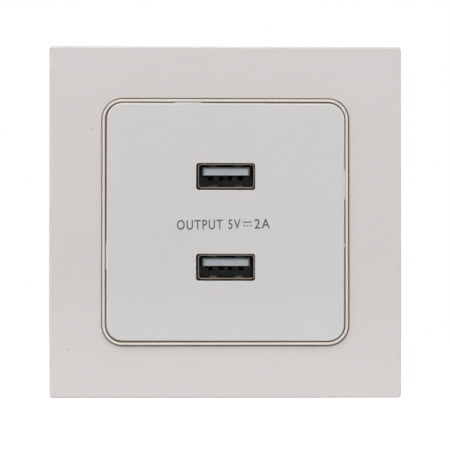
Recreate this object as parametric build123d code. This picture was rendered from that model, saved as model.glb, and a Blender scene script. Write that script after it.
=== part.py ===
from build123d import *
import os
from math import cos, radians, sin, sqrt

# A flush-mounted wall socket with two USB-A charging ports, in millimetres.
# Every piece is drawn lying on its back: x to the right, y up the wall, z from the wall to the room, with the
# wall's surface at z = 0. stand() then turns it upright, with the face towards -Y and the casing towards +Y.

# Face: frame, bead ring and centre plate
FRAME_SIDE = 81.0
FRAME_WALL = 2.0
FRAME_FACE = 2.0
FRAME_CORNER = 0.8
FRAME_EDGE = 0.5
FRAME_RIB = 1.0
FRAME_RIB_OFFSET = 16.0
FRAME_RIB_LIFT = 2.4
FACE_HEIGHT = 9.6
FRAME_DROP = 0.8
OPENING_EDGE = 0.2
COLLAR_WALL = 1.4
LEDGE_REACH = 1.1
LEDGE_THICK = 1.4
SEAM = 0.26
BEAD = 0.6
BEAD_PROUD = 0.12
BEAD_ROUND = 0.25
WEB_THICK = 0.8
WEB_REACH = 1.6
PLATE_SIDE = 54.74
PLATE_THICK = 2.0
PLATE_CORNER = 3.8
PLATE_EDGE = 0.45

# Where the frame and the plate come to lie in their play: to the right, upwards, and turned clockwise by
# so many degrees
FRAME_SHIFT = 0.06
PLATE_SHIFT_X = 0.05
PLATE_SHIFT_Y = 0.03
PLATE_TURN = 0.12

# Spacer nubs that centre the plate in the ring: place along the edge, width, and depth below the face
NUB_TOP_AT = -8.7
NUB_TOP_WIDTH = 6.0
NUB_RIGHT_AT = 8.7
NUB_RIGHT_WIDTH = 6.8
NUB_SMALL_AT = -5.3
NUB_SMALL_WIDTH = 0.9
NUB_LEFT_AT = -7.8
NUB_LEFT_WIDTH = 6.4
NUB_PLAY = 0.12
NUB_LEFT_PLAY = 0.17
NUB_DROP = 0.15

# Clips of the plate and hooks of the ring
CLIP_AT = 12.0
CLIP_WIDTH = 6.0
CLIP_THICK = 1.2
CLIP_LENGTH = 2.4
CLIP_BARB = 0.6
HOOK_X = 24.0
HOOK_Y = 11.0
HOOK_WIDTH = 5.0
HOOK_THICK = 1.2
HOOK_BARB = 0.8
HOOK_DEPTH = 1.4

# Clearances
FIT = 0.2
RUN = 0.05

# USB-A ports
PORT_PITCH = 20.86
PORT_SHIFT_X = 0.2
PORT_SHIFT_Y = 0.15
PORT_RECESS = 0.7
WINDOW_GAP = 0.22
WINDOW_CORNER = 0.6
WINDOW_EDGE = 0.18
GUIDE_WALL = 1.0
GUIDE_DEPTH = 2.2
SLEEVE_WIDTH = 12.5
SLEEVE_HEIGHT = 5.12
SLEEVE_SHEET = 0.3
SLEEVE_CORNER = 0.55
SLEEVE_EDGE = 0.1
SLEEVE_LENGTH = 14.0
SPRING_AT = 3.0
SPRING_WIDTH = 1.7
SPRING_LENGTH = 5.6
SPRING_TIP = 1.0
SPRING_NOSE = 0.32
SPRING_CURL = 0.1
SPRING_RISE = 0.5
SPRING_PLAY = 0.1
TAB_WIDTH = 1.2
TAB_AT = 1.6
TONGUE_WIDTH = 10.9
TONGUE_LIFT = 0.22
TONGUE_THICK = 1.84
TONGUE_SETBACK = 0.9
TONGUE_CHAMFER = 0.45
BASE_LENGTH = 4.5
CONTACT_WIDTH = 1.0
CONTACT_SHEET = 0.25
CONTACT_INNER = 1.0
CONTACT_OUTER = 3.5
CONTACT_DROP = 1.05
CONTACT_RISE = 0.15
CONTACT_LENGTH = 7.2
CONTACT_BEND = 4.0
CONTACT_SEAT = 0.1

# Support plate
SUPPORT_THICK = 1.0
SUPPORT_GAP = 3.0
SUPPORT_CORNER = 4.0
BOX_SPACING = 60.0
SLOT_WIDTH = 4.2
SLOT_TRAVEL = 2.4
CORNER_SPACING = 54.0
CORNER_HOLE = 3.6
STIFFENER_AT = 17.0
STIFFENER_LENGTH = 13.0
STIFFENER_WIDTH = 3.0
STIFFENER_RISE = 0.5

# Casing
CASE_WIDTH = 39.0
CASE_HEIGHT = 47.0
CASE_DEPTH = 31.0
CASE_CORNER = 9.0
CASE_WALL = 1.5
CASE_EDGE = 1.2
DECK_THICK = 1.2
DECK_MARGIN = 1.0
SPIGOT_DEPTH = 3.0
SPIGOT_WALL = 1.2
CHIMNEY_WALL = 1.2
POST_R = 2.5
REAR_POST_R = 3.5
REAR_POST_LENGTH = 12.0
CASE_SCREW_R = 1.3
CASE_SCREW_HEAD_R = 2.35
CASE_SCREW_HEAD = 1.7
CASE_SCREW_SINK = 4.0
CASE_SCREW_GRIP = 6.0

# Spreading claws and their screws
CLAW_SHEET = 1.2
CLAW_BEND_R = 0.9
CLAW_REST_ANGLE = 22.0
CLAW_WIDTH = 11.0
CLAW_FORK = 5.0
CLAW_FORK_START = 5.0
CLAW_LEG = 8.0
CLAW_REACH = 19.7
CLAW_TIP = 3.4
CLAW_TOOTH = 0.7
CLAW_PLAY = 0.2
CLAW_SEAT = 0.1
CHANNEL_DEPTH = 2.3
CHANNEL_WIDTH = 14.0
CHANNEL_END = 1.5
RIB_WIDTH = 4.0
RIB_DEPTH = 1.7
CLAW_SCREW_R = 1.5
CLAW_SCREW_HEAD_R = 2.6
CLAW_SCREW_HEAD = 1.8
CLAW_SCREW_LENGTH = 11.0
CLAW_SCREW_AT = 4.1
HEAD_EDGE = 0.55
SHANK_POINT = 0.5
CROSS_WIDTH = 0.8
CROSS_LENGTH = 3.2
CROSS_DEPTH = 1.0

# Boards
BOARD_THICK = 1.6
BOARD_GAP = 0.4
POWER_BOARD_LIFT = 3.5
POWER_BOARD_RISE = 1.1
PAD_SIDE = 3.0
LEAD = 0.5
LEAD_HOLE = 1.0
LEAD_OUT = 1.2
PIN_SIDE = 0.64
PIN_HOLE = 1.1
PIN_PITCH = 2.54
PIN_COUNT = 4
PIN_MARGIN = 1.4
PIN_RISE = 15.0
HEADER_HEIGHT = 2.5

# Charger components, in rows on the power board: a margin is from the board's side edge or notch, and a
# rise from its lower edge
PART_GAP = 0.2
FRONT_ROW_RISE = 2.9
CORE_WIDTH = 13.3
CORE_HEIGHT = 11.4
CORE_THICK = 6.0
CORE_LEG = 1.6
CORE_CENTRE = 3.0
BOBBIN_WALL = 0.7
BOBBIN_DEPTH = 12.0
BOBBIN_FOOT = 1.0
BOBBIN_PIN_PITCH = 3.3
TRANSFORMER_RISE = 13.1
CAN_R = 4.0
CAN_HEIGHT = 11.0
CAN_EDGE = 0.6
CAN_LEADS = 3.5
CAN_MARGIN = 0.9
CAN_RISE = 10.5
CAN_PITCH = 8.8
OUTPUT_CAN_DROP = 4.7
DISC_R = 3.5
DISC_THICK = 3.2
DISC_EDGE = 1.0
DISC_LIFT = 1.2
DISC_LEADS = 5.0
SAFETY_DROP = 3.6
FUSE_R = 1.4
FUSE_LENGTH = 6.4
FUSE_LEADS = 9.0
CHOKE_R = 2.7
CHOKE_HEIGHT = 8.0
CHOKE_MARGIN = 0.4
CHOKE_RISE = 3.9
BRIDGE_WIDTH = 5.2
BRIDGE_LENGTH = 4.0
BRIDGE_HEIGHT = 2.4
BRIDGE_MARGIN = 1.1
BRIDGE_RISE = 6.3
CHIP_WIDTH = 4.0
CHIP_LENGTH = 3.9
CHIP_HEIGHT = 1.5
DIODE_WIDTH = 4.0
DIODE_LENGTH = 2.6
DIODE_HEIGHT = 2.1
LEG_WIDTH = 0.5
LEG_THICK = 0.2
LEG_REACH = 0.9

# Terminals
TERMINAL_GAP = 0.27
TERMINAL_WIDTH = 7.0
TERMINAL_HEIGHT = 8.0
TERMINAL_LENGTH = 10.0
WIRE_R = 1.6
WIRE_DEPTH_Y = 2.6
ENTRY_R = 1.9
ENTRY_MOUTH_R = 3.1
ENTRY_CONE = 1.0
TERMINAL_SCREW_R = 1.5
TERMINAL_SCREW_HEAD_R = 2.4
TERMINAL_SCREW_HEAD = 1.4
TERMINAL_SCREW_TRAVEL = 2.2
ACCESS_GAP = 0.3
TAG_WIDTH = 3.0
TAG_THICK = 0.8
TAG_OVERLAP = 1.5
PARTITION = 1.0
GAUGE_WIDTH = 1.6
GAUGE_DEPTH = 0.4
GAUGE_RISE = 8.0

# Sizes that follow
FRAME_HEIGHT = FACE_HEIGHT - FRAME_DROP
RING_INSIDE = PLATE_SIDE + 2 * SEAM
RING_OUTSIDE = RING_INSIDE + 2 * BEAD
OPENING_SIDE = RING_OUTSIDE + 2 * SEAM
PLATE_BACK = FACE_HEIGHT - PLATE_THICK
RING_BACK = PLATE_BACK - WEB_THICK
WEB_INSIDE = RING_INSIDE - 2 * WEB_REACH
LEDGE_INSIDE = OPENING_SIDE - 2 * LEDGE_REACH
SUPPORT_SIDE = FRAME_SIDE - 2 * (FRAME_WALL + SUPPORT_GAP)
CAVITY_WIDTH = CASE_WIDTH - 2 * CASE_WALL
CAVITY_HEIGHT = CASE_HEIGHT - 2 * CASE_WALL
CAVITY_CORNER = CASE_CORNER - CASE_WALL
CASE_BACK = -CASE_DEPTH
CAVITY_BACK = CASE_BACK + CASE_WALL
DECK_TOP = SUPPORT_THICK + DECK_THICK
CHANNEL_FLOOR = CASE_WIDTH / 2 - CHANNEL_DEPTH
CHANNEL_INNER = CHANNEL_FLOOR - CASE_WALL
POST_INSET = CASE_CORNER - (CAVITY_CORNER - FIT - SPIGOT_WALL / 2 - POST_R) / sqrt(2)
POST_X = CASE_WIDTH / 2 - POST_INSET
POST_Y = CASE_HEIGHT / 2 - POST_INSET
POST_JOINT = CASE_BACK + REAR_POST_LENGTH
SLEEVE_FRONT = FACE_HEIGHT - PORT_RECESS
SLEEVE_BACK = SLEEVE_FRONT - SLEEVE_LENGTH
SLEEVE_OUT_WIDTH = SLEEVE_WIDTH + 2 * SLEEVE_SHEET
SLEEVE_OUT_HEIGHT = SLEEVE_HEIGHT + 2 * SLEEVE_SHEET
WINDOW_WIDTH = SLEEVE_OUT_WIDTH + 2 * WINDOW_GAP
WINDOW_HEIGHT = SLEEVE_OUT_HEIGHT + 2 * WINDOW_GAP
BASE_FRONT = SLEEVE_BACK + BASE_LENGTH
USB_BOARD_BACK = SLEEVE_BACK - BOARD_THICK
POWER_BOARD_BACK = CAVITY_BACK + POWER_BOARD_LIFT
POWER_BOARD_FRONT = POWER_BOARD_BACK + BOARD_THICK
BOARD_HALF_WIDTH = CHANNEL_INNER - BOARD_GAP
BOARD_HALF_HEIGHT = CAVITY_HEIGHT / 2 - BOARD_GAP
NOTCH_X = POST_X - REAR_POST_R - FIT
NOTCH_Y = POST_Y - REAR_POST_R - FIT
CLAW_OUTER_R = CLAW_BEND_R + CLAW_SHEET
CLAW_X = CHANNEL_FLOOR + CLAW_SEAT + CLAW_OUTER_R
CLAW_Z = -(CLAW_PLAY + CLAW_OUTER_R)
CLAW_SCREW_X = CLAW_X + CLAW_SCREW_AT
TERMINAL_FRONT = CAVITY_BACK + TERMINAL_LENGTH
TERMINAL_LOW = -CAVITY_HEIGHT / 2 + TERMINAL_SCREW_TRAVEL
TERMINAL_TOP = TERMINAL_LOW + TERMINAL_HEIGHT
TERMINAL_X = POST_X - REAR_POST_R - TERMINAL_GAP - TERMINAL_WIDTH / 2
WIRE_Y = TERMINAL_TOP - WIRE_DEPTH_Y
TERMINAL_SCREW_Z = CAVITY_BACK + TERMINAL_LENGTH / 2
POWER_BOARD_LOW = TERMINAL_TOP + FIT + PARTITION + POWER_BOARD_RISE
PIN_X = PIN_MARGIN - BOARD_HALF_WIDTH
PIN_Y = POWER_BOARD_LOW + PIN_RISE
TRANSFORMER_X = PIN_X + PIN_PITCH / 2 + PART_GAP + CORE_WIDTH / 2
TRANSFORMER_Y = POWER_BOARD_LOW + TRANSFORMER_RISE
CAN_X = BOARD_HALF_WIDTH - CAN_MARGIN - CAN_R
CAN_LOW_Y = POWER_BOARD_LOW + CAN_RISE
CAN_HIGH_Y = CAN_LOW_Y + CAN_PITCH
OUTPUT_CAN_X = PART_GAP + CAN_R - NOTCH_X
OUTPUT_CAN_Y = BOARD_HALF_HEIGHT - OUTPUT_CAN_DROP
SAFETY_X = NOTCH_X - PART_GAP - DISC_R
SAFETY_Y = BOARD_HALF_HEIGHT - SAFETY_DROP
CHOKE_X = CHOKE_MARGIN + CHOKE_R - BOARD_HALF_WIDTH
CHOKE_Y = POWER_BOARD_LOW + CHOKE_RISE
FUSE_HALF = (FUSE_LEADS + LEAD) / 2
FUSE_X = CHOKE_X + CHOKE_R + PART_GAP + FUSE_HALF
FUSE_Y = POWER_BOARD_LOW + FRONT_ROW_RISE
VARISTOR_X = FUSE_X + FUSE_HALF + PART_GAP + DISC_R
VARISTOR_Y = POWER_BOARD_LOW + FRONT_ROW_RISE
BRIDGE_X = BOARD_HALF_WIDTH - BRIDGE_MARGIN - BRIDGE_WIDTH / 2
BRIDGE_Y = POWER_BOARD_LOW + BRIDGE_RISE
DIODE_Y = CAN_LOW_Y + CAN_PITCH / 2
PORTS = {"upper": PORT_PITCH / 2, "lower": -PORT_PITCH / 2}
CONTACTS = (-CONTACT_OUTER, -CONTACT_INNER, CONTACT_INNER, CONTACT_OUTER)
SIDES = (-1, 1)


def slab(width, height, corner, low, high):
    """A rectangle with rounded corners, from one height to another."""
    return Pos(0, 0, low) * extrude(RectangleRounded(width, height, corner), high - low)


def block(left, right, bottom, top, low, high):
    """A plain box between its limits."""
    centre = Pos((left + right) / 2, (bottom + top) / 2, (low + high) / 2)
    return centre * Box(right - left, top - bottom, high - low)


def cavity_slab(inset, low, high):
    """The casing's inside, narrowed all round by an inset, from one height to another."""
    return slab(CAVITY_WIDTH - 2 * inset, CAVITY_HEIGHT - 2 * inset, CAVITY_CORNER - inset, low, high)


def rod(x, y, radius, low, high):
    """A round rod along z."""
    return Pos(x, y, (low + high) / 2) * Cylinder(radius, high - low)


def stand(shape):
    """Turn a lying piece upright, with the face towards -Y."""
    return Plane.XZ.location * shape


def top_edges(shape):
    """The edges round the highest face."""
    return shape.faces().sort_by(Axis.Z)[-1].edges()


def make_decor_frame():
    """The hollow square frame, with a collar and a ledge round its opening that the ring presses down."""
    cover = slab(FRAME_SIDE, FRAME_SIDE, FRAME_CORNER, 0, FRAME_HEIGHT)
    cover = fillet(top_edges(cover), FRAME_EDGE)
    inside = FRAME_SIDE - 2 * FRAME_WALL
    under_face = FRAME_HEIGHT - FRAME_FACE
    cover -= block(-inside / 2, inside / 2, -inside / 2, inside / 2, 0, under_face)
    ledge_back = RING_BACK - LEDGE_THICK
    opening_corner = PLATE_CORNER + 2 * SEAM + BEAD
    collar_side = OPENING_SIDE + 2 * COLLAR_WALL
    cover += slab(collar_side, collar_side, opening_corner + COLLAR_WALL, ledge_back, under_face)
    rib_back = SUPPORT_THICK + FRAME_RIB_LIFT
    for turn in range(4):
        for offset in (-FRAME_RIB_OFFSET, FRAME_RIB_OFFSET):
            left, right = offset - FRAME_RIB / 2, offset + FRAME_RIB / 2
            rib = block(left, right, collar_side / 2, inside / 2, rib_back, under_face)
            cover += Rot(0, 0, 90 * turn) * rib
    cover -= slab(LEDGE_INSIDE, LEDGE_INSIDE, opening_corner - LEDGE_REACH, 0, FRAME_HEIGHT)
    cover -= slab(OPENING_SIDE, OPENING_SIDE, opening_corner, RING_BACK, FRAME_HEIGHT)
    face = cover.faces().sort_by(Axis.Z)[-1]
    return Pos(FRAME_SHIFT, 0, 0) * fillet(face.inner_wires()[0].edges(), OPENING_EDGE)


def make_trim_ring():
    """The bead ring: a thin lip beside the plate, a web under it, and four hooks to the support plate."""
    outside_corner = PLATE_CORNER + SEAM + BEAD
    inside_corner = PLATE_CORNER + SEAM
    ring = slab(RING_OUTSIDE, RING_OUTSIDE, outside_corner, RING_BACK, FACE_HEIGHT + BEAD_PROUD)
    ring -= slab(RING_INSIDE, RING_INSIDE, inside_corner, PLATE_BACK, FACE_HEIGHT + BEAD_PROUD)
    ring = fillet(top_edges(ring), BEAD_ROUND)
    ring -= slab(WEB_INSIDE, WEB_INSIDE, inside_corner - WEB_REACH, RING_BACK, PLATE_BACK)
    for side in SIDES:
        for level in (-HOOK_Y, HOOK_Y):
            ring += Rot(0, 0, 90 - 90 * side) * make_hook(level)
    return ring


def make_hook(level):
    """One hook of the ring on the right: a lug on the web, a leg and a barb behind the support plate."""
    low, high = level - HOOK_WIDTH / 2, level + HOOK_WIDTH / 2
    inner, outer = HOOK_X - HOOK_THICK / 2, HOOK_X + HOOK_THICK / 2
    lug = block(inner, WEB_INSIDE / 2 + WEB_REACH / 2, low, high, RING_BACK, PLATE_BACK)
    leg = block(inner, outer, low, high, -HOOK_DEPTH, RING_BACK)
    barb = Polyline((outer, -RUN), (outer + HOOK_BARB, -RUN), (outer, -HOOK_DEPTH), close=True)
    return lug + leg + Pos(0, level, 0) * extrude(Plane.XZ * make_face(barb), HOOK_WIDTH / 2, both=True)


def make_centre_plate():
    """The centre insert with its two windows, guides behind them, spacer nubs, stiffening ribs and clips."""
    plate = slab(PLATE_SIDE, PLATE_SIDE, PLATE_CORNER, PLATE_BACK, FACE_HEIGHT)
    plate = fillet(top_edges(plate), PLATE_EDGE)
    guide_back = PLATE_BACK - GUIDE_DEPTH
    for level in PORTS.values():
        guide = slab(
            WINDOW_WIDTH + 2 * GUIDE_WALL,
            WINDOW_HEIGHT + 2 * GUIDE_WALL,
            WINDOW_CORNER + GUIDE_WALL,
            guide_back,
            PLATE_BACK,
        )
        plate += Pos(0, level, 0) * guide
    rib_reach = PORT_PITCH / 2 - WINDOW_HEIGHT / 2 - GUIDE_WALL / 2
    for side in SIDES:
        near, far = sorted((side * WINDOW_WIDTH / 2, side * (WINDOW_WIDTH / 2 + GUIDE_WALL)))
        plate += block(near, far, -rib_reach, rib_reach, guide_back, PLATE_BACK)
    for level in PORTS.values():
        plate -= Pos(0, level, 0) * slab(WINDOW_WIDTH, WINDOW_HEIGHT, WINDOW_CORNER, guide_back, FACE_HEIGHT)
    rims = [wire.edges() for wire in plate.faces().sort_by(Axis.Z)[-1].inner_wires()]
    plate = fillet([edge for rim in rims for edge in rim], WINDOW_EDGE)
    for nub in make_nubs():
        plate += nub
    for turn in range(2):
        for offset in (-CLIP_AT, CLIP_AT):
            plate += Rot(0, 0, 180 * turn) * make_clip(offset)
    return Pos(PLATE_SHIFT_X, PLATE_SHIFT_Y, 0) * Rot(0, 0, -PLATE_TURN) * plate


def make_nubs():
    """The spacer nubs on the plate's edge that close the seam in places."""
    edge = PLATE_SIDE / 2
    top = FACE_HEIGHT - NUB_DROP
    root = edge - PLATE_EDGE
    reach = edge + SEAM - NUB_PLAY
    left_reach = edge + SEAM - NUB_LEFT_PLAY
    half_top, half_right = NUB_TOP_WIDTH / 2, NUB_RIGHT_WIDTH / 2
    half_small, half_left = NUB_SMALL_WIDTH / 2, NUB_LEFT_WIDTH / 2
    return [
        block(NUB_TOP_AT - half_top, NUB_TOP_AT + half_top, root, reach, PLATE_BACK, top),
        block(root, reach, NUB_RIGHT_AT - half_right, NUB_RIGHT_AT + half_right, PLATE_BACK, top),
        block(root, reach, NUB_SMALL_AT - half_small, NUB_SMALL_AT + half_small, PLATE_BACK, top),
        block(-left_reach, -root, NUB_LEFT_AT - half_left, NUB_LEFT_AT + half_left, PLATE_BACK, top),
    ]


def make_clip(offset):
    """One clip on the plate's upper side: a leg inside the ring's web and a barb under it."""
    outer = WEB_INSIDE / 2 - FIT
    back = PLATE_BACK - CLIP_LENGTH
    leg = block(
        offset - CLIP_WIDTH / 2, offset + CLIP_WIDTH / 2, outer - CLIP_THICK, outer, back, PLATE_BACK
    )
    barb = Polyline((outer, RING_BACK - RUN), (outer + CLIP_BARB, RING_BACK - RUN), (outer, back), close=True)
    wedge = extrude(Plane.YZ * make_face(barb), CLIP_WIDTH / 2, both=True)
    return leg + Pos(offset, 0, 0) * wedge


def make_support_plate():
    """The steel plate on the wall box: casing opening, screw slots, claw screw holes and hook slots."""
    plate = slab(SUPPORT_SIDE, SUPPORT_SIDE, SUPPORT_CORNER, 0, SUPPORT_THICK)
    for turn in range(4):
        for side in SIDES:
            pressing = Pos(side * STIFFENER_AT, SUPPORT_SIDE / 2 - STIFFENER_WIDTH, 0)
            ridge = SlotOverall(STIFFENER_LENGTH, STIFFENER_WIDTH)
            hollow = SlotOverall(STIFFENER_LENGTH - SUPPORT_THICK, STIFFENER_WIDTH - SUPPORT_THICK)
            plate += Rot(0, 0, 90 * turn) * pressing * extrude(ridge, SUPPORT_THICK + STIFFENER_RISE)
            plate -= Rot(0, 0, 90 * turn) * pressing * extrude(hollow, STIFFENER_RISE)
    plate -= cavity_slab(0, 0, SUPPORT_THICK)
    for turn in range(4):
        slot = extrude(SlotOverall(SLOT_WIDTH + SLOT_TRAVEL, SLOT_WIDTH), SUPPORT_THICK)
        plate -= Rot(0, 0, 90 * turn) * Pos(BOX_SPACING / 2, 0, 0) * slot
        corner = CORNER_SPACING / 2
        plate -= Rot(0, 0, 90 * turn) * rod(corner, corner, CORNER_HOLE / 2, 0, SUPPORT_THICK)
    for side in SIDES:
        plate -= rod(side * CLAW_SCREW_X, 0, CLAW_SCREW_R + RUN, 0, SUPPORT_THICK)
        for level in (-HOOK_Y, HOOK_Y):
            inner = HOOK_X - HOOK_THICK / 2 - FIT
            outer = HOOK_X + HOOK_THICK / 2 + HOOK_BARB / 2
            reach = HOOK_WIDTH / 2 + FIT
            hole = block(inner, outer, level - reach, level + reach, 0, SUPPORT_THICK)
            plate -= Rot(0, 0, 90 - 90 * side) * hole
    return plate


def make_front_housing():
    """The casing's front half: a deck on the support plate, a spigot, port chimneys and screw posts."""
    deck_width = CASE_WIDTH + 2 * DECK_MARGIN
    deck_height = CASE_HEIGHT + 2 * DECK_MARGIN
    housing = slab(deck_width, deck_height, CASE_CORNER + DECK_MARGIN, SUPPORT_THICK, DECK_TOP)
    spigot = cavity_slab(FIT, -SPIGOT_DEPTH, SUPPORT_THICK)
    spigot -= cavity_slab(FIT + SPIGOT_WALL, -SPIGOT_DEPTH, SUPPORT_THICK)
    gate = CHANNEL_WIDTH / 2 + CASE_WALL + FIT
    spigot -= block(-CASE_WIDTH / 2, CASE_WIDTH / 2, -gate, gate, -SPIGOT_DEPTH, SUPPORT_THICK)
    housing += spigot
    for x in (-POST_X, POST_X):
        for y in (-POST_Y, POST_Y):
            housing += rod(x, y, POST_R, POST_JOINT, SUPPORT_THICK)
            housing -= rod(x, y, CASE_SCREW_R + RUN, POST_JOINT, POST_JOINT + CASE_SCREW_GRIP + FIT)
    chimney_top = PLATE_BACK - GUIDE_DEPTH - FIT
    for level in PORTS.values():
        place = Pos(PORT_SHIFT_X, level + PORT_SHIFT_Y, 0)
        inside_width, inside_height = SLEEVE_OUT_WIDTH + 2 * FIT, SLEEVE_OUT_HEIGHT + 2 * FIT
        housing += place * slab(
            inside_width + 2 * CHIMNEY_WALL,
            inside_height + 2 * CHIMNEY_WALL,
            SLEEVE_CORNER + SLEEVE_SHEET + CHIMNEY_WALL,
            DECK_TOP,
            chimney_top,
        )
        housing -= place * slab(
            inside_width, inside_height, SLEEVE_CORNER + SLEEVE_SHEET + FIT, SUPPORT_THICK, chimney_top
        )
    for side in SIDES:
        for level in (-1, 1):
            foot_x = side * (BOARD_HALF_WIDTH - PAD_SIDE / 2)
            foot_y = level * (NOTCH_Y - PAD_SIDE / 2)
            housing += block(
                foot_x - PAD_SIDE / 2,
                foot_x + PAD_SIDE / 2,
                foot_y - PAD_SIDE / 2,
                foot_y + PAD_SIDE / 2,
                SLEEVE_BACK,
                SUPPORT_THICK,
            )
    return housing


def make_rear_housing():
    """The casing's rear cup, with claw channels, screw posts, board pads, terminal ribs and wire entries."""
    cup = slab(CASE_WIDTH, CASE_HEIGHT, CASE_CORNER, CASE_BACK, 0)
    cup = fillet(cup.faces().sort_by(Axis.Z)[0].edges(), CASE_EDGE)
    channel_back = CLAW_Z - CLAW_REACH - CHANNEL_END
    half_channel = CHANNEL_WIDTH / 2
    cavity = cavity_slab(0, CAVITY_BACK, 0)
    for side in SIDES:
        wall = block(
            CHANNEL_INNER,
            CASE_WIDTH / 2,
            -half_channel - CASE_WALL,
            half_channel + CASE_WALL,
            channel_back - CASE_WALL,
            0,
        )
        cavity -= Rot(0, 0, 90 - 90 * side) * wall
    cup -= cavity
    rib_front = CLAW_Z - CLAW_FORK_START - CLAW_TOOTH
    for side in SIDES:
        channel = block(CHANNEL_FLOOR, CASE_WIDTH / 2, -half_channel, half_channel, channel_back, 0)
        rib_face = CHANNEL_FLOOR + RIB_DEPTH
        rib = block(CHANNEL_FLOOR, rib_face, -RIB_WIDTH / 2, RIB_WIDTH / 2, channel_back, rib_front)
        cup -= Rot(0, 0, 90 - 90 * side) * (channel - rib)
    for x in (-POST_X, POST_X):
        for y in (-POST_Y, POST_Y):
            cup += rod(x, y, REAR_POST_R, CAVITY_BACK, POST_JOINT)
    for x in (-POST_X, POST_X):
        for y in (-POST_Y, POST_Y):
            cup -= rod(x, y, CASE_SCREW_R + FIT, CASE_BACK, POST_JOINT)
            cup -= rod(x, y, CASE_SCREW_HEAD_R + FIT, CASE_BACK, CASE_BACK + CASE_SCREW_SINK)
    for side in SIDES:
        pad_x = side * (BOARD_HALF_WIDTH - PAD_SIDE / 2)
        for pad_y in (POWER_BOARD_LOW + PAD_SIDE / 2, NOTCH_Y - PAD_SIDE / 2):
            cup += block(
                pad_x - PAD_SIDE / 2,
                pad_x + PAD_SIDE / 2,
                pad_y - PAD_SIDE / 2,
                pad_y + PAD_SIDE / 2,
                CAVITY_BACK,
                POWER_BOARD_BACK,
            )
    return cut_terminal_openings(add_terminal_ribs(cup))


def add_terminal_ribs(cup):
    """Ribs that part the two terminals from each other and from the board."""
    floor = -CAVITY_HEIGHT / 2
    shelf = TERMINAL_TOP + FIT
    reach = TERMINAL_X + TERMINAL_WIDTH / 2
    cup += block(-reach, reach, shelf, shelf + PARTITION, CAVITY_BACK, POWER_BOARD_FRONT - FIT)
    for side in SIDES:
        inner = TERMINAL_X - TERMINAL_WIDTH / 2 - FIT
        rib = block(inner - PARTITION, inner, floor, shelf, CAVITY_BACK, TERMINAL_SCREW_Z)
        cup += rib if side > 0 else mirror(rib, about=Plane.YZ)
    return cup


def cut_terminal_openings(cup):
    """Wire entries through the back, screwdriver holes through the lower side, and a strip gauge."""
    for x in (-TERMINAL_X, TERMINAL_X):
        cup -= rod(x, WIRE_Y, ENTRY_R, CASE_BACK, CAVITY_BACK)
        mouth = Cone(ENTRY_MOUTH_R, ENTRY_R, ENTRY_CONE)
        cup -= Pos(x, WIRE_Y, CASE_BACK + ENTRY_CONE / 2) * mouth
        access = Cylinder(TERMINAL_SCREW_HEAD_R + ACCESS_GAP, CASE_WALL)
        cup -= Pos(x, -CASE_HEIGHT / 2 + CASE_WALL / 2, TERMINAL_SCREW_Z) * Rot(90, 0, 0) * access
    gauge = SlotOverall(TERMINAL_LENGTH, GAUGE_WIDTH)
    cup -= Pos(0, WIRE_Y + GAUGE_RISE, CASE_BACK) * extrude(gauge, GAUGE_DEPTH)
    return cup


def make_housing_screws():
    """Four self-tapping screws from the back, through the rear posts into the front ones."""
    seat = CASE_BACK + CASE_SCREW_SINK
    head_back = seat - CASE_SCREW_HEAD
    head = rod(0, 0, CASE_SCREW_HEAD_R, head_back, seat)
    head = chamfer(head.faces().sort_by(Axis.Z)[0].edges(), HEAD_EDGE)
    screw = head - make_cross(head_back, head_back + CROSS_DEPTH)
    screw += rod(0, 0, CASE_SCREW_R, seat, POST_JOINT + CASE_SCREW_GRIP)
    places = [(x, y) for x in (-POST_X, POST_X) for y in (-POST_Y, POST_Y)]
    return Compound([Pos(x, y, 0) * screw for x, y in places])


def make_cross(low, high):
    """The cutter of a cross recess."""
    half_length, half_width = CROSS_LENGTH / 2, CROSS_WIDTH / 2
    return block(-half_length, half_length, -half_width, half_width, low, high) + block(
        -half_width, half_width, -half_length, half_length, low, high
    )


def make_claw():
    """The right claw: a leg under the support plate, a bend that rolls in its corner, and a toothed fork."""
    tilt = radians(CLAW_REST_ANGLE)
    along = Vector(cos(tilt), -sin(tilt))
    across = Vector(sin(tilt), cos(tilt))
    half_turn = radians((180 + 90 - CLAW_REST_ANGLE) / 2)
    middle = Vector(cos(half_turn), sin(half_turn))
    outer, inner = CLAW_OUTER_R, CLAW_BEND_R
    reach = along * CLAW_LEG
    outline = [
        Polyline(across * inner, across * inner + reach, across * outer + reach, across * outer),
        ThreePointArc(across * outer, middle * outer, (-outer, 0)),
        Polyline(
            (-outer, 0),
            (-outer, -CLAW_REACH),
            (CLAW_TIP - outer, -CLAW_REACH),
            (CLAW_TIP - outer, CLAW_SHEET - CLAW_REACH),
            (-inner, CLAW_SHEET - CLAW_REACH),
            (-inner, 0),
        ),
        ThreePointArc((-inner, 0), middle * inner, across * inner),
    ]
    claw = extrude(Plane.XZ * make_face(outline), CLAW_WIDTH / 2, both=True)
    claw -= block(
        -outer, CLAW_TIP, -CLAW_FORK / 2, CLAW_FORK / 2, -CLAW_REACH, -CLAW_FORK_START
    )
    tooth = Box(CLAW_TOOTH * sqrt(2), CLAW_TOOTH * sqrt(2), CLAW_SHEET)
    prong = (CLAW_WIDTH - CLAW_FORK) / 2
    for side in SIDES:
        for share in (-1, 0, 1):
            tooth_y = side * (CLAW_FORK + prong) / 2 + share * CLAW_TOOTH * 2
            claw -= Pos(CLAW_TIP - outer, tooth_y, CLAW_SHEET / 2 - CLAW_REACH) * Rot(0, 0, 45) * tooth
    return Pos(CLAW_X, 0, CLAW_Z) * (claw - make_claw_slot(along, across))


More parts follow.
